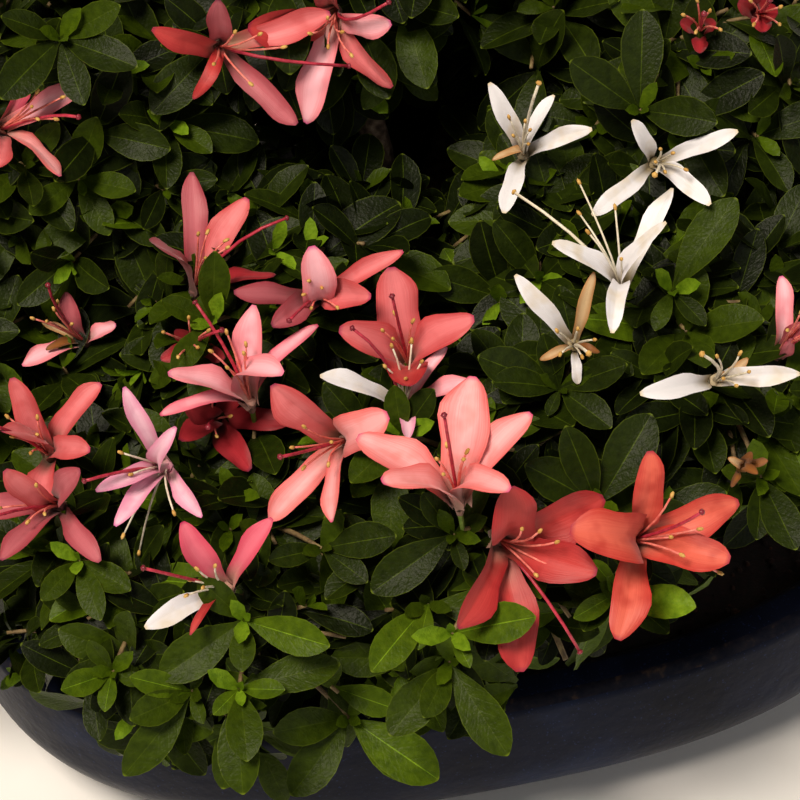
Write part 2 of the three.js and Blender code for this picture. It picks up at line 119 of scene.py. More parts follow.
camera_data = bpy.data.cameras.new("camera")
camera_data.sensor_width = SENSOR_WIDTH
camera_data.lens = SENSOR_WIDTH * CAMERA_DISTANCE / (PICTURE_SIDE * PIXEL_AT_TARGET)
camera = put_in_scene("camera", camera_data)
turn = Matrix([RIGHT, OVER, BACK]).transposed().to_4x4()
camera.matrix_world = Matrix.Translation(Vector(EYE * MM)) @ turn
bpy.context.scene.camera = camera
print("lens", round(camera_data.lens, 1), "mm")


# %% [markdown]
# Two helpers go between a point on the plant and a pixel of the picture. They let a flower be grown where
# the real plant carries it, at the depth of the crown's surface there.

# %% Pixels and lines of sight
def to_pixels(points):
    """The pixels where points show, and how far each point is in front of the camera."""
    away = points - EYE
    depth = -(away @ BACK)
    scale = CAMERA_DISTANCE / PIXEL_AT_TARGET / depth
    x = PICTURE_SIDE / 2 + (away @ RIGHT) * scale
    y = PICTURE_SIDE / 2 - (away @ OVER) * scale
    return np.stack([x, y], -1), depth


def sight(pixel):
    """The direction from the camera through a pixel."""
    across = (pixel[0] - PICTURE_SIDE / 2) * PIXEL_AT_TARGET
    upwards = (PICTURE_SIDE / 2 - pixel[1]) * PIXEL_AT_TARGET
    return unit(across * RIGHT + upwards * OVER - CAMERA_DISTANCE * BACK)


def on_sight(pixel, root, length, stretch=math.inf):
    """The point behind a pixel that lies a length away from root, on the camera's side.

    stretch is how many times longer than it shows the piece may be, so a low one keeps it facing the camera.
    """
    direction = sight(pixel)
    nearest = EYE + direction * ((root - EYE) @ direction)
    miss = np.linalg.norm(nearest - root)
    slack = math.sqrt(max(min(length, stretch * miss) ** 2 - miss**2, 0))
    return nearest - direction * slack


# %% [markdown]
# A material is a small network of nodes. One helper adds a node with its settings and its links, and
# every finish below is written with it. Colours are typed as sRGB hex values and turned to linear light.
# A pattern is noise on the piece's own coordinates, so its scale comes from a size in millimetres. The
# plain finishes are one grain that colours them and another that roughens them.

# %% Material helpers
# The Mix node's sockets share their names, so its share, its two colours and its result go by number.
MIX_SHARE, MIX_FIRST, MIX_SECOND = 0, 6, 7
MIX_RESULT = 2


def linear(hex_colour):
    """An sRGB hex value as the linear colour that shaders take."""
    parts = [int(hex_colour[i : i + 2], 16) / 255 for i in (1, 3, 5)]
    return [*(p / 12.92 if p < 0.04045 else ((p + 0.055) / 1.055) ** 2.4 for p in parts), 1.0]


def set_stops(bar, stops):
    """Gives a colour ramp its stops, as pairs of a place and a hex colour."""
    while len(bar) < len(stops):
        bar.new(1.0)
    for element, (place, colour) in zip(bar, stops):
        element.position = place
        element.color = linear(colour)


def add(tree, kind, settings, links=None):
    """Adds a node. A setting is a property of it, the value of one of its sockets, or a ramp's stops."""
    made = tree.nodes.new("ShaderNode" + kind)
    for name, value in settings.items():
        if name == "stops":
            set_stops(made.color_ramp.elements, value)
        elif isinstance(name, str) and hasattr(made, name):
            setattr(made, name, value)
        else:
            made.inputs[name].default_value = value
    for socket, output in (links or {}).items():
        tree.links.new(output, made.inputs[socket])
    return made


def new_material(name, settings):
    """An empty material with its Principled shader set. Returns the material, its tree and the shader."""
    material = bpy.data.materials.new(name)
    material.use_nodes = True
    tree = material.node_tree
    tree.nodes.clear()
    shader = add(tree, "BsdfPrincipled", settings)
    add(tree, "OutputMaterial", {}, {"Surface": shader.outputs[0]})
    return material, tree, shader


def grain(tree, size_mm, detail=3.0):
    """Noise on the piece's own coordinates, with patches about size_mm across."""
    place = add(tree, "TexCoord", {})
    settings = {"Scale": 1 / (size_mm * MM), "Detail": detail}
    return add(tree, "TexNoise", settings, {"Vector": place.outputs["Object"]}).outputs["Fac"]


def grained(name, settings, stops, size, detail=3.0, bump_size=None, bump_detail=3.0, bump_depth=0.0):
    """A material coloured by one grain, and roughened by another if it has a bump_size. Lengths are in mm."""
    material, tree, shader = new_material(name, settings)
    tones = add(tree, "ValToRGB", {"stops": stops}, {"Fac": grain(tree, size, detail)})
    tree.links.new(tones.outputs["Color"], shader.inputs["Base Color"])
    if bump_size:
        height = grain(tree, bump_size, bump_detail)
        relief = add(tree, "Bump", {"Distance": bump_depth * MM}, {"Height": height})
        tree.links.new(relief.outputs["Normal"], shader.inputs["Normal"])
    return material


# %% [markdown]
# A shrub has thousands of leaves, so each kind of small thing is modelled once with bmesh operators, read
# into arrays, and copied by arithmetic. A heap gathers the copies and becomes one joined mesh. Instances
# would be lighter, but a joined mesh is what a model file can hold.


# %% Shapes, heaps and pieces
class Shape:
    """The points and faces of a small mesh, as arrays."""

    def __init__(self, bm):
        bm.verts.index_update()
        self.points = np.array([v.co[:] for v in bm.verts])
        self.corners = np.array([v.index for f in bm.faces for v in f.verts])
        self.sizes = np.array([len(f.verts) for f in bm.faces])
        self.uv = np.zeros((len(self.points), 2))
        bm.free()


class Heap:
    """Copies of shapes, gathered to become one mesh."""

    def __init__(self):
        self.parts = {"points": [], "corners": [], "sizes": [], "uv": [], "slots": []}
        self.count = 0

    def add(self, shape, points, slots):
        """points is (copies, points of the shape, 3), and slots gives each copy's or each face's material."""
        copies, each = points.shape[:2]
        starts = self.count + each * np.arange(copies)
        faces = (copies, len(shape.sizes))
        slots = np.asarray(slots)
        spread = slots[:, None] if slots.ndim == 1 else slots
        self.parts["points"].append(points.reshape(-1, 3))
        self.parts["corners"].append((starts[:, None] + shape.corners).ravel())
        self.parts["sizes"].append(np.tile(shape.sizes, copies))
        self.parts["uv"].append(np.tile(shape.uv[shape.corners], (copies, 1)))
        self.parts["slots"].append(np.broadcast_to(spread, faces).ravel())
        self.count += copies * each

    def whole(self, part):
        return np.concatenate(self.parts[part])


def settle(name, mesh, materials, nodes):
    """Makes a mesh a smooth piece on the plant's one body, in place of the CAD nodes it stands for."""
    mesh.polygons.foreach_set("use_smooth", np.ones(len(mesh.polygons), bool))
    for material in materials:
        mesh.materials.append(material)
    piece = put_in_scene(name, mesh)
    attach(piece, "root")
    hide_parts(*nodes)
    return piece


def heap_piece(name, heap, materials, nodes):
    """One joined mesh from a heap."""
    sizes = heap.whole("sizes")
    mesh = bpy.data.meshes.new(name)
    mesh.vertices.add(heap.count)
    mesh.vertices.foreach_set("co", (heap.whole("points") * MM).ravel())
    mesh.loops.add(int(sizes.sum()))
    mesh.loops.foreach_set("vertex_index", heap.whole("corners"))
    mesh.polygons.add(len(sizes))
    mesh.polygons.foreach_set("loop_start", np.cumsum(sizes) - sizes)
    mesh.polygons.foreach_set("material_index", heap.whole("slots"))
    mesh.uv_layers.new(name="surface").data.foreach_set("uv", heap.whole("uv").ravel())
    mesh.update(calc_edges=True)
    return settle(name, mesh, materials, nodes)


def bmesh_piece(name, bm, materials, nodes):
    """One mesh from a bmesh that was modelled in millimetres."""
    bmesh.ops.scale(bm, vec=(MM, MM, MM), verts=bm.verts)
    mesh = bpy.data.meshes.new(name)
    bm.to_mesh(mesh)
    bm.free()
    return settle(name, mesh, materials, nodes)


# %% [markdown]
# The pot is slip-cast or thrown stoneware under a cobalt glaze so dark that it is nearly black. A glaze is
# glass, with an IOR of about 1.5, but weather has dulled this one, so its shine is set low and soft. It
# runs thin and brown over a sharp edge, and the foot stays bare clay.

# %% Pot finishes
GLAZE_IOR = 1.5
GLAZE_SHINE = 0.04
GLAZE_ROUGHNESS = {"To Min": 0.3, "To Max": 0.46}
GLAZE_TONES = [(0.3, "#0b0e19"), (0.55, "#131829"), (0.75, "#1c2640")]
GLAZE_BLOTCH = 38.0
SPECK_TONES = [(0.66, "#000000"), (0.74, "#1f2c52")]
SPECK_SIZE = 0.9
SPECK_SHARE = 0.5
DIMPLE_SIZE = 5.0
DIMPLE_DEPTH = 0.25
THIN_TONES = [(0.35, "#0f121e"), (0.6, "#1d1c24"), (0.72, "#382d28")]
CLAY_TONES = [(0.35, "#5b4635"), (0.65, "#7d6552")]

glaze_look = {"IOR": GLAZE_IOR, "Specular IOR Level": GLAZE_SHINE}
glaze, tree, shader = new_material("cobalt glazed stoneware", glaze_look)
tones = add(tree, "ValToRGB", {"stops": GLAZE_TONES}, {"Fac": grain(tree, GLAZE_BLOTCH, 4.0)})
specks = add(tree, "ValToRGB", {"stops": SPECK_TONES}, {"Fac": grain(tree, SPECK_SIZE, 1.0)})
settings = {"data_type": "RGBA", "blend_type": "ADD", MIX_SHARE: SPECK_SHARE}
mixed = add(tree, "Mix", settings, {MIX_FIRST: tones.outputs["Color"], MIX_SECOND: specks.outputs["Color"]})
tree.links.new(mixed.outputs[MIX_RESULT], shader.inputs["Base Color"])
gloss = add(tree, "MapRange", GLAZE_ROUGHNESS, {"Value": grain(tree, GLAZE_BLOTCH / 3)})
tree.links.new(gloss.outputs["Result"], shader.inputs["Roughness"])
dimples = add(tree, "Bump", {"Distance": DIMPLE_DEPTH * MM}, {"Height": grain(tree, DIMPLE_SIZE, 2.0)})
tree.links.new(dimples.outputs["Normal"], shader.inputs["Normal"])

thin_glaze = grained(
    "glaze run thin over an edge", {**glaze_look, "Roughness": 0.4}, THIN_TONES,
    size=3.0, bump_size=1.2, bump_depth=0.12,
)
bare_clay = grained(
    "unglazed stoneware", {"Roughness": 0.85}, CLAY_TONES,
    size=1.4, detail=4.0, bump_size=0.7, bump_depth=0.15,
)
print("pot finishes:", ", ".join(material.name for material in (glaze, thin_glaze, bare_clay)))

# %% [markdown]
# The pot's wall is one profile, drawn from the middle of the underside, up the outside, over the rim and
# down the inside. Turned round it would make a round pot. Each point is then pushed out to the oval,
# which is how the CAD solid is made too, with fewer steps.

# %% Pot shape
POT_LENGTH = 312.0
POT_WIDTH = 232.0
POT_HEIGHT = 68.0
OVAL_POWER = 2.6
RIM_WIDTH = 13.0
RIM_OUTER_ROUND = 5.0
RIM_INNER_ROUND = 4.0
BELLY_HEIGHT = 38.0
BELLY_INSET = 30.0
FOOT_INSET = 34.0
FOOT_HEIGHT = 7.0
FLOOR_HEIGHT = 12.0
FLOOR_INSET = 44.0
INNER_BELLY_HEIGHT = 40.0
INNER_LEDGE = 1.0
FOOT_BEVEL = 1.0
SOIL_TOP = 58.0
POT_TURNS = 160
BELLY_STEPS = 12
OUTER_LIP_STEPS = 6
INNER_LIP_STEPS = 5
INNER_WALL_STEPS = 8
HALF_LENGTH = POT_LENGTH / 2
HALF_WIDTH = POT_WIDTH / 2

# The glaze stops above the foot, and runs thin on the faces near the rim's top that aren't level.
GLAZE_LINE = 6.0
THIN_GLAZE_DEPTH = 2.2
LEVEL_LIMIT = 0.93


def arc(centre, across, rise, start, end, steps):
    """Points [inset from the rim's outline, height] on a stretch of an ellipse, angles in degrees."""
    angles = np.radians(np.linspace(start, end, steps + 1))
    return [(centre[0] + across * math.cos(a), centre[1] + rise * math.sin(a)) for a in angles]


def inner_wall():
    """The inside, from a narrow ledge under the rim down to the floor."""
    across = FLOOR_INSET - RIM_WIDTH - INNER_LEDGE
    centre = (FLOOR_INSET, INNER_BELLY_HEIGHT)
    return arc(centre, across, INNER_BELLY_HEIGHT - FLOOR_HEIGHT, 180, 270, INNER_WALL_STEPS)


def turn_profile(profile):
    """Spins a profile into a bmesh, and pushes it out to the pot's oval."""
    bm = bmesh.new()
    points = [bm.verts.new((HALF_LENGTH - inset, 0, height)) for inset, height in profile]
    edges = [bm.edges.new(pair) for pair in zip(points, points[1:])]
    bmesh.ops.spin(
        bm, geom=points + edges, axis=(0, 0, 1), cent=(0, 0, 0), angle=math.tau, steps=POT_TURNS,
        use_merge=True,
    )
    bmesh.ops.remove_doubles(bm, verts=bm.verts, dist=0.01)
    flat_radius = HALF_LENGTH - FLOOR_INSET
    squeeze = (HALF_WIDTH - FLOOR_INSET) / flat_radius
    for vert in bm.verts:
        radius = math.hypot(vert.co.x, vert.co.y)
        wide = radius * squeeze if radius < flat_radius else HALF_WIDTH - HALF_LENGTH + radius
        across, along = vert.co.x / max(radius, 1e-9), vert.co.y / max(radius, 1e-9)
        vert.co.x = radius * math.copysign(abs(across) ** (2 / OVAL_POWER), across)
        vert.co.y = wide * math.copysign(abs(along) ** (2 / OVAL_POWER), along)
    bmesh.ops.recalc_face_normals(bm, faces=bm.faces)
    return bm


base_line = [(HALF_LENGTH, 0), (HALF_LENGTH / 2, 0), (FOOT_INSET + FOOT_BEVEL, 0), (FOOT_INSET, FOOT_BEVEL)]
belly = arc((BELLY_INSET, BELLY_HEIGHT), BELLY_INSET, BELLY_HEIGHT - FOOT_HEIGHT, 270, 180, BELLY_STEPS)
outer_centre = (RIM_OUTER_ROUND, POT_HEIGHT - RIM_OUTER_ROUND)
outer_lip = arc(outer_centre, RIM_OUTER_ROUND, RIM_OUTER_ROUND, 180, 90, OUTER_LIP_STEPS)
inner_centre = (RIM_WIDTH - RIM_INNER_ROUND, POT_HEIGHT - RIM_INNER_ROUND)
inner_lip = arc(inner_centre, RIM_INNER_ROUND, RIM_INNER_ROUND, 90, 0, INNER_LIP_STEPS)
inside = [*inner_wall(), (HALF_LENGTH, FLOOR_HEIGHT)]
pot_bm = turn_profile([*base_line, *belly, *outer_lip, *inner_lip, *inside])
pot_looks = [glaze, thin_glaze, bare_clay]
for face in pot_bm.faces:
    middle = face.calc_center_median()
    if middle.z < GLAZE_LINE:
        face.material_index = pot_looks.index(bare_clay)
    elif middle.z > POT_HEIGHT - THIN_GLAZE_DEPTH and abs(face.normal.z) < LEVEL_LIMIT:
        face.material_index = pot_looks.index(thin_glaze)
pot = bmesh_piece("pot_wall", pot_bm, pot_looks, ["pot"])
print("pot faces", len(pot.data.polygons))

# %% [markdown]
# The soil is a moist mix of crumbled clay grains and peat, dark red-brown. Its surface is a turned disc
# moved up and down by noise, with loose grains of 1 to 4 mm scattered over it.

# %% Soil
SOIL_TONES = [("#110805", "#241009"), ("#1c0c07", "#35180e"), ("#2a160d", "#4a2717")]
SOIL_DEPTH = 14.0
SOIL_SINK = 0.6
SOIL_RINGS = 46
SOIL_CLEARANCE = 0.3
LUMP_SIZE, LUMP_HEIGHT = 17.0, 1.5
CRUMB_SIZE, CRUMB_HEIGHT = 4.0, 0.7
GRAIN_COUNT = 2600
GRAIN_RADIUS = (0.5, 1.9)
GRAIN_SQUASH = (0.6, 1.0)
GRAIN_JAG = 0.18
GRAIN_LIFT = 0.2
GRAIN_MARGIN = 2.0

soils = [
    grained(
        f"moist soil grain {i}", {"Roughness": 0.88}, [(0.35, dark), (0.68, light)],
        size=2.2, detail=6.0, bump_size=0.8, bump_detail=5.0, bump_depth=0.5,
    )
    for i, (dark, light) in enumerate(SOIL_TONES)
]


def oval_measure(points):
    """Under 1 inside the pot's outline, over 1 outside it."""
    along = np.abs(points[..., 0] / HALF_LENGTH) ** OVAL_POWER
    across = np.abs(points[..., 1] / HALF_WIDTH) ** OVAL_POWER
    return (along + across) ** (1 / OVAL_POWER)


def soil_height(x, y):
    """The soil's surface, with wide lumps and small crumbs."""
    lumps = noise.noise(Vector((x, y, 0)) / LUMP_SIZE) * LUMP_HEIGHT
    crumbs = noise.noise(Vector((x, y, 9)) / CRUMB_SIZE) * CRUMB_HEIGHT
    return SOIL_TOP - SOIL_SINK + (lumps + crumbs)


inset_at_soil = inner_wall()[0][0] + SOIL_CLEARANCE
soil_floor = [(inset, SOIL_TOP - SOIL_DEPTH) for inset in (HALF_LENGTH, inset_at_soil + 1)]
soil_face = [(inset, SOIL_TOP) for inset in np.linspace(inset_at_soil, HALF_LENGTH, SOIL_RINGS)]
soil_bm = turn_profile([*soil_floor, *soil_face])
for vert in soil_bm.verts:
    if vert.co.z > SOIL_TOP - 1:
        vert.co.z = soil_height(vert.co.x, vert.co.y)
bmesh_piece("soil_surface", soil_bm, soils[:1], ["soil"])

grain_bm = bmesh.new()
bmesh.ops.create_icosphere(grain_bm, subdivisions=1, radius=1)
grain_shape = Shape(grain_bm)
spot_x = between(-HALF_LENGTH, HALF_LENGTH, GRAIN_COUNT)
spot_y = between(-HALF_WIDTH, HALF_WIDTH, GRAIN_COUNT)
spots = np.column_stack([spot_x, spot_y])
spots = spots[oval_measure(spots) < 1 - (inset_at_soil + GRAIN_MARGIN) / HALF_WIDTH]
heights = np.array([soil_height(x, y) for x, y in spots])
radii = between(*GRAIN_RADIUS, len(spots))
squash = between(*GRAIN_SQUASH, (len(spots), 1, 3))
jagged = 1 + between(-GRAIN_JAG, GRAIN_JAG, (len(spots), len(grain_shape.points), 1))
grains = grain_shape.points * squash * jagged * radii[:, None, None]
grains = grains + np.column_stack([spots, heights + radii * GRAIN_LIFT])[:, None]
soil_heap = Heap()
soil_heap.add(grain_shape, grains, chance.integers(0, len(soils), len(spots)))
heap_piece("soil_grains", soil_heap, soils, ["soil"])
print("soil grains", len(spots))

# %% [markdown]
# The masses of the crown, as the CAD model places them: a bearing in degrees, a share of an oval ring's
# reach, a height, and half sizes. The flat sides where two masses meet come from a power diagram, so
# each mass has a space of its own without any list of planes.

# %% Masses
RING_LONG = 142.0
RING_WIDE = 94.0
MASSES = {
    "front_left": (-121, 1.02, 114, (66, 58, 42)),
    "front_middle": (-88, 0.92, 120, (62, 58, 46)),
    "front_right": (-51, 0.8, 138, (62, 56, 42)),
    "right": (2, 0.97, 126, (62, 62, 44)),
    "back_right": (56, 1.03, 124, (62, 56, 44)),
    "back_middle": (92, 1.08, 120, (58, 52, 42)),
    "back_left": (127, 1.06, 122, (62, 56, 42)),
    "left": (183, 1.02, 120, (60, 62, 44)),
    "inner_left": (-139, 0.38, 150, (54, 48, 38)),
    "inner_right": (-31, 0.34, 152, (52, 46, 36)),
    "upper_left": (148, 0.76, 186, (60, 56, 46)),
    "upper_right": (22, 0.58, 182, (60, 58, 44)),
    "upper_back": (70, 0.92, 174, (58, 48, 42)),
    "apex": (97, 0.5, 226, (60, 54, 48)),
}
NAMES = list(MASSES)


def mass_centre(bearing, reach, height):
    angle = math.radians(bearing)
    return [reach * RING_LONG * math.cos(angle), reach * RING_WIDE * math.sin(angle), height]


CENTRES = np.array([mass_centre(*row[:3]) for row in MASSES.values()])
HALVES = np.array([row[3] for row in MASSES.values()], float)
CELL_RADII = HALVES.mean(1)


def depth_in_cell(mass, points):
    """How far inside a mass's own space points lie, from the flat side that each is nearest to."""
    power = ((points[:, None] - CENTRES) ** 2).sum(-1) - CELL_RADII**2
    apart = 2 * np.linalg.norm(CENTRES - CENTRES[mass], axis=1)
    depths = (power - power[:, mass : mass + 1]) / np.maximum(apart, 1e-9)
    depths[:, mass] = np.inf
    return depths.min(1)


def surface_reach(mass, directions):
    """From a mass's centre to its surface along directions."""
    return 1 / np.linalg.norm(directions / HALVES[mass], axis=-1)


def clear_of_pot(points, gap):
    above = points[..., 2] > POT_HEIGHT + gap
    outside = (oval_measure(points) > 1 + gap / HALF_WIDTH) & (points[..., 2] > gap)
    return above | outside


def crown_hit(pixel):
    """The point where a pixel's line of sight meets the crown, or passes nearest to it."""
    direction = sight(pixel)
    away = EYE - CENTRES
    a = ((direction / HALVES) ** 2).sum(1)
    b = (direction * away / HALVES**2).sum(1)
    c = ((away / HALVES) ** 2).sum(1) - 1
    inside = b * b - a * c
    first = (-b - np.sqrt(np.maximum(inside, 0))) / a
    if (inside > 0).any():
        return EYE + direction * np.where(inside > 0, first, np.inf).min()
    return EYE + direction * (-b / a)[inside.argmax()]


# %% [markdown]
# Azalea bark is thin, grey-brown and flaking in strips along the limb. The CAD trunk and boughs have few
# sides, so copies of them are melted into one skin with a voxel remesh, smoothed, and given relief that
# runs along each limb. Sculpting each limb by hand would lose the fit to the frame.

# %% Bark finish
BARK_TONES = [(0.28, "#2b2018"), (0.5, "#5a4636"), (0.66, "#85705a"), (0.8, "#a3937d")]
BARK_FLECK = 2.6
bark = grained(
    "flaking azalea bark", {"Roughness": 0.86}, BARK_TONES,
    size=BARK_FLECK, detail=6.0, bump_size=BARK_FLECK, bump_detail=6.0, bump_depth=0.5,
)
print("bark finish:", bark.name)

# %% [markdown]
# The relief is noise that is squeezed across the limb and drawn out along it, so each vertex needs to
# know which limb it is on. The nearest straight line from the fork to a bough's tip answers that.

# %% Trunk and boughs
LIMB_GROWTH = 0.35
LIMB_VOXEL = 1.3
LIMB_SMOOTHING = 6
FLAKE_WIDTH = 2.4
FLAKE_LENGTH = 11.0
FLAKE_DEPTH = 0.9
SPLIT_FINENESS = 1.9
SPLIT_SHARPNESS = 3.0
TRUNK_FOOT = [8.0, 4.0, SOIL_TOP]
FORK = np.array([-5.0, 13.0, 118.0])
TIP_THICKNESS = 3.0
limb_names = ["trunk", *(f"bough_{name}" for name in NAMES)]


def node_points(name):
    """The points of a CAD node, in millimetres."""
    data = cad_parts[name].data
    points = np.zeros(len(data.vertices) * 3)
    data.vertices.foreach_get("co", points)
    return points.reshape(-1, 3) / MM


def bough_tip(mass):
    """The middle of the bough's end, which is the part of it nearest to the mass's centre."""
    points = node_points(f"bough_{NAMES[mass]}")
    near = np.linalg.norm(points - CENTRES[mass], axis=1)
    return points[near < near.min() + TIP_THICKNESS].mean(0)


TIPS = np.array([bough_tip(mass) for mass in range(len(NAMES))])


def melted_limbs():
    """The trunk and the boughs as one evenly meshed skin."""
    bm = bmesh.new()
    for name in limb_names:
        bm.from_mesh(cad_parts[name].data)
    bmesh.ops.scale(bm, vec=(1 / MM, 1 / MM, 1 / MM), verts=bm.verts)
    bmesh.ops.remove_doubles(bm, verts=bm.verts, dist=0.02)
    bm.normal_update()
    for vert in bm.verts:
        vert.co += vert.normal * LIMB_GROWTH
    mesh = bpy.data.meshes.new("limbs_plain")
    bm.to_mesh(mesh)
    bm.free()
    plain = put_in_scene("limbs_plain", mesh)
    remesh = plain.modifiers.new("skin", "REMESH")
    remesh.mode = "VOXEL"
    remesh.voxel_size = LIMB_VOXEL
    smooth = plain.modifiers.new("ease", "SMOOTH")
    smooth.iterations = LIMB_SMOOTHING
    evaluated = plain.evaluated_get(bpy.context.evaluated_depsgraph_get())
    skin = bmesh.new()
    skin.from_mesh(evaluated.to_mesh())
    bpy.data.objects.remove(plain)
    return skin


def flake_relief(point, along):
    """Plates and splits of bark at a point of a limb that runs along a direction."""
    lengthways = along * point.dot(along)
    stretched = (point - lengthways) / FLAKE_WIDTH + lengthways / FLAKE_LENGTH
    plates = noise.noise(stretched)
    splits = abs(noise.noise(stretched * SPLIT_FINENESS + Vector((7, 3, 1))))
    return plates * 0.5 + min(splits * SPLIT_SHARPNESS, 1) * 0.5 - 0.5


limbs_bm = melted_limbs()
limbs_bm.normal_update()
skin_points = np.array([v.co[:] for v in limbs_bm.verts])
starts = np.array([FORK, *np.repeat(FORK[None], len(TIPS), 0)])
ends = np.array([TRUNK_FOOT, *TIPS])
runs = ends - starts
shares = ((skin_points[:, None] - starts) * runs).sum(-1) / (runs**2).sum(-1)
nearest = starts + np.clip(shares, 0, 1)[..., None] * runs
limb_of = np.linalg.norm(skin_points[:, None] - nearest, axis=-1).argmin(1)
limb_runs = [Vector(run) for run in unit(runs)]
reliefs = [flake_relief(v.co, limb_runs[limb]) for v, limb in zip(limbs_bm.verts, limb_of)]
for vert, relief in zip(limbs_bm.verts, reliefs):
    if vert.co.z > SOIL_TOP + 1:
        vert.co += vert.normal * (relief * FLAKE_DEPTH)
limbs = bmesh_piece("bark_limbs", limbs_bm, [bark], limb_names)
print("bark faces", len(limbs.data.polygons))

# %% [markdown]
# A leaf or a petal is a blade: a flat grid that is narrowed to an outline, arched from root to tip, folded
# along its middle and twisted a little. The grid comes from a bmesh operator, and the bending is done for
# all blades at once. A leaf keeps its fold to the tip. A petal is folded at its foot, where it is part of
# the funnel, and its edges roll back towards the tip. A leaf's grid has a narrow strip down the middle,
# which becomes its pale midrib.

# %% Blades
FINE_STEPS = 32
MIDRIB_LIMIT = 0.1
RUFFLES = 11.0
GROOVE_WIDTH = 0.25
NEARLY_ALONG_X = 0.8

# Blades ripple out of step with each other, by this much for each radian of their arch.
RIPPLE_SHIFT = 40.0


class Blade(Shape):
    """A grid with its rows at fine steps from root to tip, and its columns at places from edge to edge."""

    def __init__(self, rows, across):
        bm = bmesh.new()
        bmesh.ops.create_grid(bm, x_segments=len(rows) - 1, y_segments=len(across) - 1, size=1)
        super().__init__(bm)
        last = np.array([len(rows) - 1, len(across) - 1])
        order = np.rint((self.points[:, :2] + 1) / 2 * last).astype(int)
        self.station = np.array(rows)[order[:, 0]]
        self.along = self.station / FINE_STEPS
        self.across = np.array(across)[order[:, 1]]
        self.uv = np.stack([self.along, (self.across + 1) / 2], 1)
        face_points = self.corners.reshape(-1, 4)
        self.on_midrib = np.abs(self.across[face_points]).max(1) < MIDRIB_LIMIT


def bent(
    blade, outline, length, width, arch, fold=0.0, fade=0.0, cup=0.0, groove=0.0, twist=0.0, wave=0.0,
    ruffle=0.0,
):
    """Blades with the root at the origin, the tip on +X and the face up, one for each length.

    arch turns a blade down from root to tip. fold lifts its edges, and fade takes that away towards the
    tip. cup curls the edges there, groove sinks the middle, and twist turns the tip. wave ripples the edges
    up and down, and ruffle in and out.
    """
    count = len(length)

    def column(value):
        return np.broadcast_to(np.asarray(value, float), (count,))[:, None]

    fine = np.linspace(0, 1, FINE_STEPS + 1)
    slope = -column(arch) * fine
    middle = (slope[:, 1:] + slope[:, :-1]) / 2
    start = np.zeros((count, 1))
    x = np.concatenate([start, np.cumsum(np.cos(middle), 1)], 1)
    z = np.concatenate([start, np.cumsum(np.sin(middle), 1)], 1)
    tilt = np.arctan2(z[:, -1:], x[:, -1:])
    scale = column(length) / np.hypot(x[:, -1:], z[:, -1:])
    x, z = (x * np.cos(tilt) + z * np.sin(tilt)) * scale, (z * np.cos(tilt) - x * np.sin(tilt)) * scale
    x, z, angle = x[:, blade.station], z[:, blade.station], (slope - tilt)[:, blade.station]
    u = blade.along
    out = np.abs(blade.across)
    phase = column(arch) * RIPPLE_SHIFT
    uneven = 1 + column(ruffle) * np.sin(RUFFLES * u + 2 * np.sign(blade.across) + phase)
    half = column(width) / 2 * outline(u) * uneven
    sideways = half * blade.across
    rise = column(fold) * out * (1 - fade * u) + column(cup) * out**2 * u
    rise = rise - column(groove) * np.exp(-((out / GROOVE_WIDTH) ** 2))
    lift = half * (rise + column(wave) * np.sin(RUFFLES * u + 2 * blade.across + phase) * out)
    turned = column(twist) * u
    y = sideways * np.cos(turned) - lift * np.sin(turned)
    h = sideways * np.sin(turned) + lift * np.cos(turned)
    return np.stack([x - h * np.sin(angle), y, z + h * np.cos(angle)], -1)


def set_out(local, root, along, face):
    """Moves blades from their own frame to their places on the plant."""
    across = np.cross(face, along)
    frames = np.stack([along, across, face], 1)
    return np.einsum("kni,kij->knj", local, frames) + root[:, None]


def off_axis(axis):
    """A fixed direction well off each axis, from which directions round it are worked out."""
    return np.where(np.abs(axis[..., :1]) > NEARLY_ALONG_X, [0.0, 1.0, 0.0], [1.0, 0.0, 0.0])


def spokes(axis, angle, pitch):
    """Directions pitched away from axes, at angles round them, and the faces that look along the axes."""
    side = unit(np.cross(off_axis(axis), axis))
    other = np.cross(axis, side)
    outwards = side * np.cos(angle)[:, None] + other * np.sin(angle)[:, None]
    along = axis * np.cos(pitch)[:, None] + outwards * np.sin(pitch)[:, None]
    return along, facing(along, axis)


def facing(along, wish):
    """The wished directions, made square to the blades."""
    return unit(wish - (wish * along).sum(-1, keepdims=True) * along)


def bulge(u, rise, fall):
    """A hump that goes from 0 to 1 and back, widest at rise / (rise + fall)."""
    peak = rise / (rise + fall)
    return u**rise * (1 - u) ** fall / (peak**rise * (1 - peak) ** fall)


def leaf_outline(u):
    """Widest past the middle, on a short stalk, with a blunt tip."""
    return np.maximum(bulge(u, 1.25, 0.76), np.where(u < 0.5, 0.13, 0.05))


def petal_outline(u):
    """A strap that meets its neighbours in the funnel, is widest at two thirds, and has a rounded tip."""
    return np.maximum(0.8 * bulge(u, 1.5, 0.62) + 0.52 * (1 - u) ** 1.2, 0.16)


LEAF_BLADE = Blade([0, 3, 7, 12, 17, 22, 26, 29, 31, 32], [-1, -0.55, -0.028, 0.028, 0.55, 1])
YOUNG_BLADE = Blade([0, 10, 20, 28, 32], [-1, 0, 1])
PETAL_BLADE = Blade([0, 3, 7, 11, 15, 18, 21, 24, 26, 28, 30, 31, 32], [-1, -0.62, -0.14, 0.14, 0.62, 1])
print("leaf faces", len(LEAF_BLADE.sizes), "petal faces", len(PETAL_BLADE.sizes))

# %% [markdown]
# Twigs, filaments and stalks are all thin tubes bent along a curve with one control point. One open
# cylinder, cut into rings, serves them all.

# %% Tubes
TUBE_SIDES = 5
TUBE_RINGS = 5


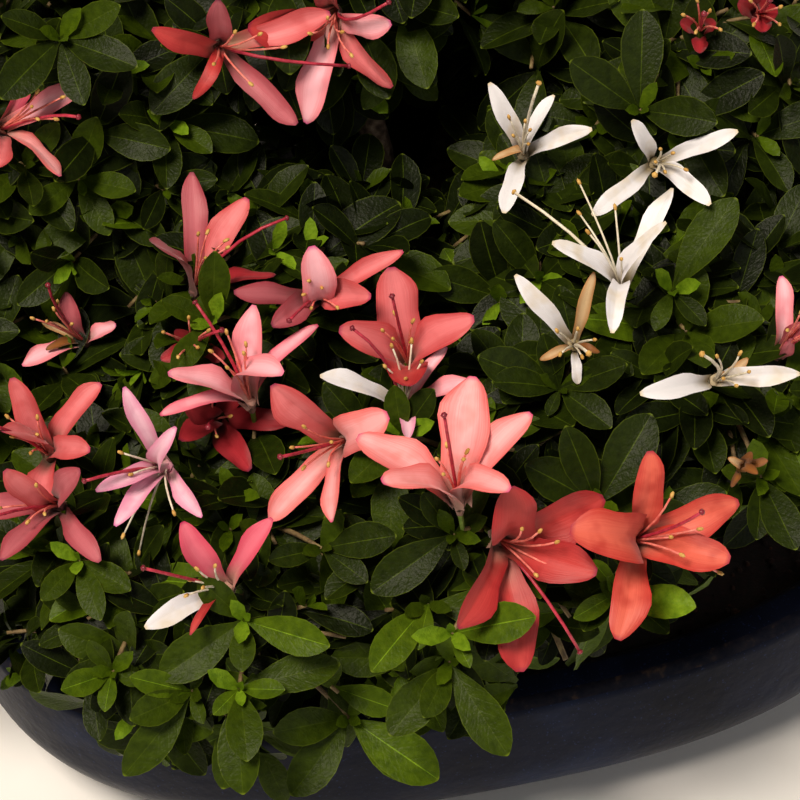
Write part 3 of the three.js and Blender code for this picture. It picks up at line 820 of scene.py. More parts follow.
def tube_shape(sides, rings):
    bm = bmesh.new()
    bmesh.ops.create_cone(bm, cap_ends=True, segments=sides, radius1=1, radius2=1, depth=1)
    bmesh.ops.translate(bm, vec=(0, 0, 0.5), verts=bm.verts)
    for i in range(1, rings):
        geometry = bm.verts[:] + bm.edges[:] + bm.faces[:]
        bmesh.ops.bisect_plane(bm, geom=geometry, plane_co=(0, 0, i / rings), plane_no=(0, 0, 1))
    return Shape(bm)


TUBE = tube_shape(TUBE_SIDES, TUBE_RINGS)


def curve_point(start, bend, end, share):
    return start * (1 - share) ** 2 + bend * (2 * share * (1 - share)) + end * share**2


def tubes(start, bend, end, foot_radius, tip_radius):
    """Tubes that taper along curves from start to end, drawn towards bend."""
    share = TUBE.points[None, :, 2:3]
    first, middle, last = start[:, None], bend[:, None], end[:, None]
    centre = curve_point(first, middle, last, share)
    tangent = unit((middle - first) * (1 - share) + (last - middle) * share)
    side = unit(np.cross(off_axis(unit(end - start))[:, None], tangent))
    other = np.cross(tangent, side)
    feet = np.broadcast_to(foot_radius, len(start))[:, None, None]
    tips = np.broadcast_to(tip_radius, len(start))[:, None, None]
    radius = feet + (tips - feet) * share
    return centre + radius * (side * TUBE.points[None, :, :1] + other * TUBE.points[None, :, 1:2])


# %% [markdown]
# Azalea leaves are leathery, with a satin cuticle over a slightly pebbled face. Their colour is dealt by
# place: dark inside the crown and in a hollow near the top, which is painted shade, fresh green low at the
# front, which is painted light, and yellow-green on the newest growth. So each spray is dealt a shade of its
# own. Faint side veins, a thin pale margin and the pale dot at the tip follow the leaf's UV map.

# %% Leaf finishes
# deep and dark are laid on as painted shade inside the crown and in the hollow, and fresh as painted light
# low at the front; each is also dealt by chance.
LEAF_SHADES = {
    "deep": ("#0c1203", "#151d05"),
    "dark": ("#172004", "#232e06"),
    "mid": ("#263304", "#354407"),
    "fresh": ("#344606", "#495d0a"),
    "young": ("#4e6a0e", "#728f1c"),
    "midrib": ("#2c3908", "#43520e"),
}
SHADE = {name: i for i, name in enumerate(LEAF_SHADES)}
MARGIN_TONE = "#66761c"
VEIN_STRENGTH = 0.16
LEAF_SHINE = 0.1
VEIN_PAIRS = 6.0
VEIN_SLANT = 1.5
LEAF_MOTTLE = 2.4
LEAF_PEBBLE = 0.9
VEIN_LINE = {"From Min": 0.0, "From Max": 0.13, "To Min": 1.0, "To Max": 0.0}
MARGIN = {"From Min": 0.47, "From Max": 0.495, "To Min": 0.0, "To Max": 0.3}
TIP_DOT = {"From Min": 0.975, "From Max": 0.995, "To Min": 0.0, "To Max": 0.7}
LEAF_RELIEF = {"Distance": 0.3 * MM, "Strength": 0.7}


def blade_map(tree):
    """A blade's UV map, the place along it from 0 to 1, and the distance out from its middle, up to 0.5."""
    place = add(tree, "UVMap", {"uv_map": "surface"})
    parts = add(tree, "SeparateXYZ", {}, {"Vector": place.outputs["UV"]})
    centred = add(tree, "Math", {"operation": "SUBTRACT", 1: 0.5}, {0: parts.outputs["Y"]})
    out = add(tree, "Math", {"operation": "ABSOLUTE"}, {0: centred.outputs[0]})
    return place.outputs["UV"], parts.outputs["X"], out.outputs[0]


def leaf_material(name, base, vein):
    """A leathery leaf with pale side veins that slant from the midrib, and a pale margin and tip."""
    settings = {"IOR": 1.45, "Roughness": 0.42, "Specular IOR Level": LEAF_SHINE}
    material, tree, shader = new_material(f"azalea leaf {name}", settings)
    _, along, out = blade_map(tree)
    slant = add(tree, "Math", {"operation": "MULTIPLY", 1: -2 * VEIN_SLANT}, {0: out})
    rise = {0: along, 2: slant.outputs[0]}
    order = add(tree, "Math", {"operation": "MULTIPLY_ADD", 1: VEIN_PAIRS}, rise)
    share = add(tree, "Math", {"operation": "FRACT"}, {0: order.outputs[0]})
    swing = add(tree, "Math", {"operation": "PINGPONG", 1: 0.5}, {0: share.outputs[0]})
    line = add(tree, "MapRange", VEIN_LINE, {"Value": swing.outputs[0]}).outputs["Result"]
    stops = [(0.3, base), (0.75, vein)]
    tones = add(tree, "ValToRGB", {"stops": stops}, {"Fac": grain(tree, LEAF_MOTTLE)})
    faint = add(tree, "Math", {"operation": "MULTIPLY", 1: VEIN_STRENGTH}, {0: line})
    settings = {"data_type": "RGBA", MIX_SECOND: linear(vein)}
    veined = add(tree, "Mix", settings, {MIX_SHARE: faint.outputs[0], MIX_FIRST: tones.outputs["Color"]})
    margin = add(tree, "MapRange", MARGIN, {"Value": out}).outputs["Result"]
    dot = add(tree, "MapRange", TIP_DOT, {"Value": along}).outputs["Result"]
    pale = add(tree, "Math", {"operation": "MAXIMUM"}, {0: margin, 1: dot})
    settings = {"data_type": "RGBA", MIX_SECOND: linear(MARGIN_TONE)}
    links = {MIX_SHARE: pale.outputs[0], MIX_FIRST: veined.outputs[MIX_RESULT]}
    colour = add(tree, "Mix", settings, links)
    tree.links.new(colour.outputs[MIX_RESULT], shader.inputs["Base Color"])
    links = {0: line, 2: grain(tree, LEAF_PEBBLE, 2.0)}
    height = add(tree, "Math", {"operation": "MULTIPLY_ADD", 1: -VEIN_STRENGTH}, links)
    relief = add(tree, "Bump", LEAF_RELIEF, {"Height": height.outputs[0]})
    tree.links.new(relief.outputs["Normal"], shader.inputs["Normal"])
    return material


leaf_materials = [leaf_material(name, *tones) for name, tones in LEAF_SHADES.items()]
print("leaf finishes:", ", ".join(LEAF_SHADES))

# %% [markdown]
# The rule that grows a mass is the source's, carried on to finer twigs. A stem runs on from the bough's
# tip through the centre. Main twigs leave it towards even directions over a sphere, and fine twigs leave
# those. Each fine twig ends in a rosette, as an azalea's does: leaves in a close spiral, the lowest laid
# out flat, the next ones steeper, and small bright ones round the bud. The crown isn't clipped, so its
# sprays stand in clumps, with dark hollows between them.

# %% Growing rule
MAIN_TWIGS = 17
OUTER_ROSETTES = 126
INNER_ROSETTES = 52
OUTER_REACH = (0.84, 0.99)
INNER_REACH = (0.58, 0.76)
CLUMP_SIZE = 24.0
DIP_LIMIT = -0.16
STEM_OVERSHOOT = 0.35
STEM_SINK = 2.0
STEM_SHARE = 0.6
MAIN_REACH = (0.78, 0.88)
MAIN_RISE = 0.1
FINE_RISE = 0.12
BRANCH_SHARES = (0.35, 0.5, 0.65, 0.8)
BRANCH_COST = 14.0
DIRECTION_JITTER = 0.07
POT_GAP = 2.0
UNDERSIDE = -0.5
UNDERSIDE_SHARE = 0.35
LEAVES_PER_ROSETTE = (5, 9)
LEAF_LENGTH = 24.5
LEAF_WIDTH_SHARE = 0.42
PITCH_LOWEST = 86.0
PITCH_STEP = 6.0
LEAF_STEP = 1.1
YOUNG_PER_ROSETTE = 3
YOUNG_ODDS = (0.35, 0.42, 0.23)
BUDDING_SHARE = 0.5


def even_directions(count, turn):
    """Directions spread evenly over a sphere."""
    order = np.arange(count)
    rise = 1 - 2 * (order + 0.5) / count
    level = np.sqrt(1 - rise**2)
    angle = order * GOLDEN_ANGLE + turn
    return np.stack([level * np.cos(angle), level * np.sin(angle), rise], 1)


def shell_points(mass, count, reach):
    """Points in a shell of a mass, inside its own space and clear of the pot."""
    jitter = (-DIRECTION_JITTER, DIRECTION_JITTER, (count, 3))
    directions = unit(even_directions(count, between(0, 6)) + between(*jitter))
    points = CENTRES[mass] + directions * (surface_reach(mass, directions) * between(*reach, count))[:, None]
    inside = (depth_in_cell(mass, points) > 0) & clear_of_pot(points, POT_GAP + 3)
    shown = (directions[:, 2] > UNDERSIDE) | (between(0, 1, count) < UNDERSIDE_SHARE)
    return points[inside & shown]


def between_clumps(points):
    """Which points lie where the crown's surface sinks in between two clumps."""
    return np.array([noise.noise(Vector(point) / CLUMP_SIZE) for point in points]) < DIP_LIMIT


def main_twigs(mass):
    """The stem and the main twigs of a mass, as curves of three points."""
    stem_end = CENTRES[mass] + STEM_OVERSHOOT * (CENTRES[mass] - TIPS[mass])
    ends = shell_points(mass, MAIN_TWIGS, MAIN_REACH)
    run = stem_end - TIPS[mass]
    share = np.clip(((ends - TIPS[mass]) @ run) / (run @ run), 0, 1) * STEM_SHARE
    feet = TIPS[mass] + share[:, None] * run
    bends = (feet + ends) / 2 + UP * MAIN_RISE * np.linalg.norm(ends - feet, axis=1, keepdims=True)
    start = TIPS[mass] - STEM_SINK * unit(run)
    stem = (start[None], ((start + stem_end) / 2)[None], stem_end[None])
    return stem, (feet, bends, ends)


def branch_points(twigs, spots):
    """Where on the nearest main twig the fine twig to each spot leaves it."""
    feet, bends, ends = twigs
    best = np.full(len(spots), np.inf)
    chosen = np.zeros((len(spots), 3))
    for share in BRANCH_SHARES:
        on_twigs = curve_point(feet, bends, ends, share)
        apart = np.linalg.norm(spots[:, None] - on_twigs, axis=-1)
        cost = apart.min(1) + BRANCH_COST * share
        better = cost < best
        best = np.where(better, cost, best)
        chosen = np.where(better[:, None], on_twigs[apart.argmin(1)], chosen)
    return chosen


# %% [markdown]
# Each rosette becomes a few rows of a table: where a leaf is rooted, which way it runs and faces, its size
# and its shade. Keeping the leaves as numbers until the end makes it easy to leave out those that would
# stand in the pot or hide a flower.


# %% Tables of leaves
class Table:
    """Columns of equal length, added to a batch at a time."""

    def __init__(self):
        self.batches = []

    def add(self, **columns):
        self.batches.append(columns)

    def column(self, name):
        return np.concatenate([batch[name] for batch in self.batches])


def rosette_leaves(table, centres, axes, sizes, shades, mass, layer):
    """Adds the leaves of rosettes to a table. shades is the place of each rosette's shade in the list."""
    count = len(centres)
    spins = between(0, math.tau, count)
    numbers = chance.integers(*LEAVES_PER_ROSETTE, count)
    for k in range(LEAVES_PER_ROSETTE[1] - 1):
        has = numbers > k
        share = k / (LEAVES_PER_ROSETTE[1] - 1)
        pitch = np.radians(PITCH_LOWEST - PITCH_STEP * k + between(-9, 9, count))
        along, face = spokes(axes, spins + GOLDEN_ANGLE * k, pitch)
        face = facing(along, face + 0.45 * UP + between(-0.16, 0.16, (count, 3)))
        root = centres - axes * (LEAF_STEP * (LEAVES_PER_ROSETTE[1] - k))
        length = LEAF_LENGTH * sizes * (1.06 - 0.4 * share) * between(0.84, 1.12, count)
        lighter = between(0, 1, count) < 0.14 + 0.28 * share
        darker = between(0, 1, count) < 0.25
        shade = np.clip(shades + lighter - darker, SHADE["deep"], SHADE["fresh"])
        table.add(
            root=root[has], along=along[has], face=face[has], length=length[has],
            shade=shade[has].astype(int), mass=np.full(has.sum(), mass), layer=np.full(has.sum(), layer),
        )


def rosette_buds(table, centres, axes, sizes, mass):
    """Adds the small bright leaves round the buds of rosettes, each rosette's in one shade."""
    count = len(centres)
    spins = between(0, math.tau, count)
    shades = chance.choice([SHADE["mid"], SHADE["fresh"], SHADE["young"]], count, p=YOUNG_ODDS)
    for k in range(YOUNG_PER_ROSETTE):
        pitch = np.radians(48 - 10 * k + between(-8, 8, count))
        along, face = spokes(axes, spins + GOLDEN_ANGLE * k, pitch)
        length = (11.5 - 2.2 * k) * sizes * between(0.75, 1.15, count)
        table.add(
            root=centres - axes * 1.5, along=along, face=face, length=length,
            mass=np.full(count, mass), shade=shades,
        )


def rosette_axes(mass, spots, feet):
    """Which way rosettes look: on from their twig, out of the crown, and up to the light."""
    outwards = unit(spots - CENTRES[mass])
    onwards = unit(spots - feet)
    jitter = between(-0.22, 0.22, spots.shape)
    return unit(0.5 * outwards + 0.35 * onwards + 0.5 * UP + jitter)


# %% [markdown]
# The shade of a spray follows its place, as painted light and shade. Sprays that hang low at the front,
# where the light falls, lean to fresh green as painted light, those of the inner layer are deep or dark as
# painted shade, and the rest are deep, dark or mid by chance.

# %% Growing the masses
STEM_RADII = (2.7, 1.5)
MAIN_RADII = (1.35, 0.8)
FINE_RADII = (0.8, 0.55)
leaves = Table()
buds = Table()
twig_rows = Table()
rosettes = Table()
twigs_of = []


def deal_shades(mass, spots, layer):
    # How low and far to the front a spray hangs, where the light falls; it raises the tone as painted light.
    painted_light_front = np.clip((-spots[:, 1] - 70) / 60, 0, 1) * np.clip((128 - spots[:, 2]) / 40, 0, 1)
    luck = between(0, 1, len(spots)) + 0.75 * painted_light_front
    # The inner layer takes the deep and dark tones, as painted shade inside the crown.
    if layer == 0:
        return np.where(luck > 0.8, 1, 0)
    return np.digitize(luck, [0.4, 0.84, 1.12])


for mass in range(len(NAMES)):
    stem, twigs = main_twigs(mass)
    twigs_of.append(twigs)
    for (start, bend, end), (foot_radius, tip_radius) in ((stem, STEM_RADII), (twigs, MAIN_RADII)):
        count = len(start)
        twig_rows.add(
            start=start, bend=bend, end=end, foot=np.full(count, foot_radius), tip=np.full(count, tip_radius),
            mass=np.full(count, mass),
        )
    for layer, (number, reach) in enumerate([(INNER_ROSETTES, INNER_REACH), (OUTER_ROSETTES, OUTER_REACH)]):
        spots = shell_points(mass, number, reach)
        if layer == 1:
            spots = spots[~between_clumps(spots)]
        feet = branch_points(twigs, spots)
        axes = rosette_axes(mass, spots, feet)
        sizes = between(0.84, 1.14, len(spots))
        rosettes.add(
            spot=spots, foot=feet, axis=axes, size=sizes, shade=deal_shades(mass, spots, layer),
            mass=np.full(len(spots), mass), layer=np.full(len(spots), layer),
        )
print("rosettes", len(rosettes.column("mass")))

# %% [markdown]
# The flowers and sprays that show best are grown where the real plant has them. Each is named by the
# pixels of its throat or centre and of its tips, and set at the depth of the crown there. A depth in
# millimetres sets it further in, or nearer where it is negative. The kind gives a flower its colour, and
# kinds names those of petals that differ. Reaches are petal lengths in millimetres, arches are bends in
# degrees, and widths are times the kind's own. petals is the number where a flower has lost some.

# %% Flowers that show, by their pixels
# The darkened coral kind on some of these flowers is painted shade, where they sit in the crown's shade.
BLOOMS = [
    {"throat": (219, 47), "tips": [(218, 0), (152, 29), (193, 99), (297, 124), (330, 13)], "style": (349, 66),
     "anthers": [(235, 32), (260, 34), (284, 47), (251, 84), (214, 64)], "kind": "coral", "depth": -12,
     "kinds": ["rose", "cherry", "cherry", "rose", "coral"], "reaches": [26, 26, 17, 29, 29],
     "arches": [50, 95, 160, 45, 50], "widths": [0.98, 0.62, 0.5, 1.04, 0.9]},
    {"throat": (335, 14), "tips": [(305, 123), (391, 23), (248, 27)], "style": (389, 2), "kind": "coral",
     "kinds": ["pink", "pink", "cherry"], "depth": 16},
    {"throat": (2, 128), "tips": [(32, 50), (88, 82), (61, 176)], "kind": "coral",
     "kinds": ["deep_pink", "pink", "salmon"], "reaches": [22, 27, 24], "depth": 10,
     "widths": [0.9, 0.85, 0.8]},
    {"throat": (195, 288), "tips": [(192, 172), (150, 241), (247, 198), (275, 275)], "style": (287, 218),
     "kind": "rose", "kinds": ["rose", "rose", "coral", "crimson"], "depth": 14, "petals": 4},
    {"throat": (316, 298), "tips": [(234, 292), (312, 246), (403, 251), (371, 296), (272, 326)],
     "kind": "rose", "kinds": ["rose", "pink", "coral", "coral"], "depth": 10,
     "arches": [40, 110, 70, 60, 60], "widths": [0.95, 1.1, 0.75]},
    {"throat": (409, 366), "tips": [(392, 267), (474, 318), (339, 330), (407, 386)], "style": (392, 296),
     "kind": "coral", "kinds": ["coral", "coral", "coral", "cherry"], "arches": [55, 90, 60, 60],
     "widths": [1.45, 1.5, 1.25], "petals": 4},
    {"throat": (250, 400), "tips": [(254, 305), (318, 325), (168, 374), (160, 415), (283, 374)],
     "style": (195, 302), "kind": "pink", "kinds": ["pink", "blush_red", "pink", "blush_red"],
     "arches": [60, 100, 60, 80, 120], "widths": [1.0, 0.6, 1.1, 0.7]},
    {"throat": (345, 440), "tips": [(272, 385), (388, 415), (270, 520), (332, 522)], "style": (280, 457),
     "kind": "salmon", "kinds": ["coral", "salmon", "salmon", "salmon"], "arches": [60, 100, 55, 55],
     "widths": [1.4, 1.1, 0.8, 0.62], "petals": 4},
    {"throat": (458, 500), "tips": [(472, 376), (531, 413), (357, 437), (382, 482), (510, 490)],
     "style": (444, 415), "kind": "salmon", "depth": -14, "arches": [60, 70, 60, 70, 100],
     "widths": [1.25, 0.85, 0.95, 0.9, 0.75]},
    {"throat": (500, 540), "tips": [(510, 487), (604, 498), (597, 572), (458, 628), (520, 672)],
     "style": (580, 652), "anthers": [(522, 529), (540, 531), (557, 542), (536, 575), (573, 575)],
     "kind": "cherry", "arches": [90, 50, 50, 60, 45], "widths": [1.3, 1.1, 0.95, 0.85, 1.15]},
    {"throat": (632, 540), "tips": [(650, 451), (739, 502), (730, 560), (618, 640), (570, 530)],
     "style": (702, 512), "anthers": [(672, 495), (700, 529), (671, 537), (682, 555), (720, 573)],
     "kind": "red", "depth": -12, "arches": [80, 50, 55, 70, 135], "widths": [0.85, 1.0, 1.05, 0.9, 1.35]},
    {"throat": (166, 466), "tips": [(124, 387), (176, 427), (202, 517), (115, 526), (96, 491)],
     "style": (84, 481), "anthers": [(174, 513), (139, 553), (123, 536)], "kind": "blush",
     "arches": [50, 90, 40, 50, 70]},
    {"throat": (226, 588), "tips": [(182, 522), (272, 518), (145, 628), (190, 635)], "style": (143, 568),
     "kind": "blush_red", "kinds": ["deep_pink", "deep_pink", "white", "cherry"],
     "reaches": [24, 24, 26, 20], "depth": 7, "petals": 4, "arches": [60, 60, 50, 90],
     "widths": [1.1, 0.9, 1.25, 0.36]},
    {"throat": (50, 455), "tips": [(12, 378), (0, 430), (90, 450)], "kind": "coral"},
    {"throat": (58, 505), "tips": [(5, 470), (0, 560), (80, 470)], "kind": "rose",
     "kinds": ["coral", "rose", "rose"]},
    {"throat": (82, 340), "tips": [(116, 325), (22, 365), (66, 292), (42, 322), (46, 350)], "kind": "rose",
     "kinds": ["pink", "pink", "rose", "tan", "dried"], "reaches": [12, 19, 16, 12, 12], "depth": 8,
     "style": (48, 285)},
    {"throat": (196, 345), "tips": [(175, 330), (212, 325), (190, 360)], "kind": "crimson", "depth": 12,
     "reaches": [12, 12, 12], "style": (222, 330)},
    {"throat": (215, 420), "tips": [(180, 440), (250, 470), (185, 405)], "kind": "crimson", "depth": 14},
    {"throat": (523, 154), "tips": [(489, 83), (554, 95), (592, 129), (504, 213), (492, 160)],
     "style": (539, 83), "kind": "white", "kinds": ["white", "white", "white", "white", "tan"],
     "reaches": [26, 20, 24, 26, 11], "arches": [70, 120, 60, 45, 170]},
    {"throat": (655, 163), "tips": [(632, 120), (738, 131), (592, 215), (710, 205)], "kind": "white",
     "reaches": [18, 26, 26, 26], "petals": 4},
    {"throat": (622, 288), "tips": [(672, 188), (666, 222), (552, 243), (612, 333)], "kind": "white",
     "style": (514, 192), "anthers": [(579, 182), (579, 213), (588, 232), (615, 207)], "depth": -8,
     "arches": [60, 100, 70, 110], "petals": 4},
    {"throat": (574, 345), "tips": [(515, 275), (594, 272), (540, 360), (578, 384), (600, 352)],
     "kind": "white", "kinds": ["white", "tan", "tan", "white", "dried"], "reaches": [27, 22, 10, 10, 8],
     "depth": -6, "arches": [60, 70, 150, 100, 160]},
    {"throat": (716, 380), "tips": [(640, 394), (748, 358), (800, 374), (752, 377)], "style": (702, 354),
     "kind": "white", "kinds": ["white", "tan", "white", "white"], "reaches": [28, 12, 28, 12],
     "petals": 4},
    {"throat": (404, 408), "tips": [(320, 376), (447, 347), (474, 382)], "style": (352, 328),
     "kind": "blush", "kinds": ["white", "pink", "pink"], "reaches": [27, 20, 22], "depth": 6,
     "widths": [1.1, 0.5, 0.9], "petals": 4},
    {"throat": (780, 350), "tips": [(781, 276), (806, 322), (792, 338)], "kind": "rose",
     "kinds": ["pink", "rose", "rose"], "reaches": [20, 14, 10], "depth": 6, "widths": [0.7, 0.8, 0.8],
     "petals": 3},
    {"throat": (757, 14), "tips": [(738, 2), (778, 12), (764, 32)], "kind": "crimson", "depth": 6,
     "reaches": [12, 12, 12], "petals": 4, "style": (770, 0)},
    {"throat": (700, 30), "tips": [(680, 22), (716, 22)], "kind": "crimson", "depth": 12,
     "reaches": [9, 9], "petals": 3, "style": (704, 14)},
    {"throat": (742, 466), "tips": [(728, 458), (752, 452), (758, 474)], "kind": "dried",
     "kinds": ["tan", "dried", "dried"], "reaches": [8, 8, 10]},
]
SPRAYS = [
    {"centre": (60, 38), "tips": [(120, 4), (137, 66), (0, 98), (84, 104), (0, 15)], "shade": "dark",
     "depth": -9},
    {"centre": (244, 620), "tips": [(198, 578), (159, 679), (242, 672), (330, 646)], "shade": "mid"},
    {"centre": (239, 689), "tips": [(340, 664), (285, 690), (247, 762), (243, 795), (213, 715)],
     "shade": "mid"},
    {"centre": (191, 692), "tips": [(123, 776), (129, 720), (203, 724), (129, 677)], "shade": "mid"},
    {"centre": (112, 672), "tips": [(104, 712), (60, 690), (142, 684), (88, 640)], "shade": "mid"},
    {"centre": (349, 718), "tips": [(291, 796), (417, 781), (439, 780), (273, 733)], "shade": "mid"},
    {"centre": (453, 534), "tips": [(371, 592), (464, 570), (487, 517), (422, 492)], "shade": "dark"},
    {"centre": (428, 604), "tips": [(371, 672), (534, 615), (418, 650)], "shade": "mid"},
    {"centre": (450, 663), "tips": [(508, 756), (389, 736), (423, 718)], "shade": "dark"},
    {"centre": (560, 388), "shade": "dark",
     "tips": [(478, 355), (492, 381), (548, 415), (612, 427), (628, 363), (543, 332)]},
    {"centre": (598, 505), "tips": [(525, 464), (652, 413), (566, 425)], "shade": "dark"},
    {"centre": (618, 592), "tips": [(574, 618), (592, 560)], "shade": "mid"},
    {"centre": (622, 598), "tips": [(697, 607)], "shade": "fresh"},
    {"centre": (452, 634), "tips": [(536, 617), (470, 668)], "shade": "fresh", "depth": -9},
    {"centre": (672, 290), "tips": [(737, 197), (706, 325), (655, 330)], "shade": "dark"},
    {"centre": (762, 478), "tips": [(797, 550), (722, 470), (757, 540)], "shade": "dark"},
    {"centre": (322, 548), "tips": [(397, 535), (368, 582), (268, 560)], "shade": "dark"},
    {"centre": (212, 322), "tips": [(214, 250), (160, 300), (172, 372)], "shade": "mid"},
    {"centre": (640, 110), "tips": [(643, 8), (718, 122), (570, 60)], "shade": "dark"},
    {"centre": (78, 560), "tips": [(130, 590), (100, 620), (40, 600)], "shade": "mid"},
    {"centre": (402, 434), "tips": [(394, 384), (434, 388), (350, 482)], "shade": "dark"},
]

# %% [markdown]
# A spider azalea's flower is five narrow petals on a very short tube, five thin filaments with golden
# anthers, and one longer red style that ends in a dark knob. Petals are satin: greyish in the throat, made
# darker there as painted shade in the funnel, pale along the middle, deeper towards the edges, with faint
# streaks and a magenta point. Old ones turn tan.

# %% Flower finishes
PETAL_KINDS = {
    "salmon": (0.98, "#ab8478", "#f0a3a6", "#d9524e", "#c93f74", "#e07874"),
    "coral": (0.72, "#8c6a54", "#dc7478", "#b83638", "#a82a56", "#c04a4c"),
    # Coral darkened as painted shade, for flowers that sit in the crown's shade; elsewhere dealt by chance.
    "rose": (0.66, "#7a5550", "#b9606a", "#93303c", "#7c2846", "#a2424c"),
    "crimson": (0.7, "#5a1c1c", "#a52630", "#79131c", "#5f1030", "#6e1018"),
    "cherry": (0.98, "#8f6a5c", "#b93a38", "#981b20", "#8e1438", "#8a1216"),
    "red": (1.0, "#9a7462", "#d4604e", "#b22a24", "#9e2038", "#a11c16"),
    "pink": (0.76, "#b98d80", "#f4b4c0", "#e06c76", "#cf4c8a", "#e88996"),
    "blush": (0.44, "#957c6c", "#f2bfd2", "#df7fa4", "#cf68a4", "#e08fb0"),
    "blush_red": (0.6, "#ab8374", "#eb9fac", "#d0405c", "#b81c54", "#de6c80"),
    "deep_pink": (0.66, "#c08c7e", "#dd6a7e", "#cb3a56", "#b0184e", "#d0506a"),
    "white": (0.5, "#857550", "#e4e2e7", "#ebe9ef", "#dccba8", "#d2c2a6"),
    "tan": (0.4, "#947c56", "#c6a880", "#a9723a", "#8f5618", "#9c6628"),
    "dried": (0.42, "#7d5528", "#8c5626", "#643a18", "#502a10", "#4f2d14"),
}
KIND = {name: i for i, name in enumerate(PETAL_KINDS)}
STREAKS = (1.5, 26.0, 1.0)
STREAK_RAGGING = 0.35
BLOTCH_SIZE = 7.0
PETAL_RIM = {"From Min": 0.3, "From Max": 0.68, "To Min": 0.0, "To Max": 0.9}
PETAL_PATCHES = {"From Min": 0.5, "From Max": 0.72, "To Min": 0.0, "To Max": 0.65}
PETAL_RELIEF = {"Distance": 0.2 * MM, "Strength": 0.5}


def petal_material(name, throat, body, edge, tip, blotch):
    """A satin petal whose colour runs from its throat to its tip and from its middle to its edges."""
    settings = {"IOR": 1.4, "Roughness": 0.5, "Sheen Weight": 0.12, "Sheen Roughness": 0.4}
    material, tree, shader = new_material(f"azalea petal {name}", settings)
    surface, along, out = blade_map(tree)
    mapping = add(tree, "Mapping", {"Scale": STREAKS}, {"Vector": surface})
    fine = add(tree, "TexNoise", {"Scale": 1.0, "Detail": 2.0}, {"Vector": mapping.outputs["Vector"]})
    ragged = {0: fine.outputs["Fac"], 2: out}
    streaked = add(tree, "Math", {"operation": "MULTIPLY_ADD", 1: STREAK_RAGGING}, ragged)
    rim = add(tree, "MapRange", PETAL_RIM, {"Value": streaked.outputs[0]}).outputs["Result"]
    # The throat tone is the petal's own greyish base, made darker as painted shade in the funnel.
    stops = [(0.08, throat), (0.42, body), (0.96, body), (1.0, tip)]
    middle = add(tree, "ValToRGB", {"stops": stops}, {"Fac": along}).outputs["Color"]
    stops = [(0.04, throat), (0.3, edge), (0.95, edge), (1.0, tip)]
    sides = add(tree, "ValToRGB", {"stops": stops}, {"Fac": along}).outputs["Color"]
    links = {MIX_SHARE: rim, MIX_FIRST: middle, MIX_SECOND: sides}
    shaded = add(tree, "Mix", {"data_type": "RGBA"}, links).outputs[MIX_RESULT]
    patches = add(tree, "MapRange", PETAL_PATCHES, {"Value": grain(tree, BLOTCH_SIZE, 2.0)})
    settings = {"data_type": "RGBA", MIX_SECOND: linear(blotch)}
    colour = add(tree, "Mix", settings, {MIX_SHARE: patches.outputs["Result"], MIX_FIRST: shaded})
    tree.links.new(colour.outputs[MIX_RESULT], shader.inputs["Base Color"])
    relief = add(tree, "Bump", PETAL_RELIEF, {"Height": fine.outputs["Fac"]})
    tree.links.new(relief.outputs["Normal"], shader.inputs["Normal"])
    return material


def plain_organ(name, dark, light, roughness):
    """A small flower part with a slight change of tone along it."""
    return grained(name, {"IOR": 1.4, "Roughness": roughness}, [(0.35, dark), (0.7, light)], size=1.5)


ORGANS = {
    "filament": ("#d9665c", "#ef9386", 0.45),
    "pale_filament": ("#d8cdb4", "#f1e9d8", 0.45),
    "anther": ("#b08038", "#dcb468", 0.7),
    "style": ("#9c2438", "#c43c50", 0.4),
    "stigma": ("#6d1f2c", "#8d2c3a", 0.3),
    "calyx": ("#5d7a26", "#86a044", 0.5),
}
ORGAN = {name: len(KIND) + i for i, name in enumerate(ORGANS)}
blossom_materials = [petal_material(name, *look[1:]) for name, look in PETAL_KINDS.items()]
blossom_materials += [plain_organ(f"azalea {name}", *look) for name, look in ORGANS.items()]
print("blossom finishes:", len(blossom_materials))

# %% [markdown]
# The small knobs at the ends of filaments and styles are squashed balls. The tube and the flower stalk are
# the same tubes as the twigs, and the petals are blades.

# %% Making flowers
PETAL_LENGTH = 28.0
PETAL_WIDTH = 11.0
PETAL_ARCH = (42, 82)
THROAT_RADIUS = 1.5
STYLE_LENGTH = 34.0
FILAMENT_LENGTH = (17.0, 24.0)
TUBE_LENGTH = 6.0
STALK_LENGTH = 7.0
WITHERED = ("tan", "dried")
knob_bm = bmesh.new()
bmesh.ops.create_icosphere(knob_bm, subdivisions=1, radius=1)
KNOB = Shape(knob_bm)

petals = Table()
threads = Table()
knobs = Table()


def add_petals(throat, axis, tips, kinds, mass, arches, widths):
    """Petals from a throat to their tips. kinds names each one's kind.

    arches, in degrees, bends the first ones, and widths makes them that many times as wide as their kind.
    """
    count = len(tips)
    stretched = np.ones(count)
    stretched[: len(widths)] = widths
    along = unit(tips - throat)
    outwards = unit(along - (along @ axis)[:, None] * axis + 1e-6)
    roots = throat + outwards * THROAT_RADIUS - axis * THROAT_RADIUS
    along = unit(tips - roots)
    length = np.linalg.norm(tips - roots, axis=1)
    shares = np.array([PETAL_KINDS[kind][0] for kind in kinds])
    withered = np.array([kind in WITHERED for kind in kinds])
    arch = between(*PETAL_ARCH, count) * np.where(withered, 1.5, 1)
    arch[: len(arches)] = arches
    width = PETAL_WIDTH * shares * stretched * between(0.9, 1.12, count)
    petals.add(
        root=roots, along=along, face=facing(along, np.broadcast_to(axis, (count, 3))), length=length,
        width=width * np.minimum(length / PETAL_LENGTH, 1) ** 0.5,
        arch=np.radians(arch), kind=np.array([KIND[kind] for kind in kinds]), mass=np.full(count, mass),
    )


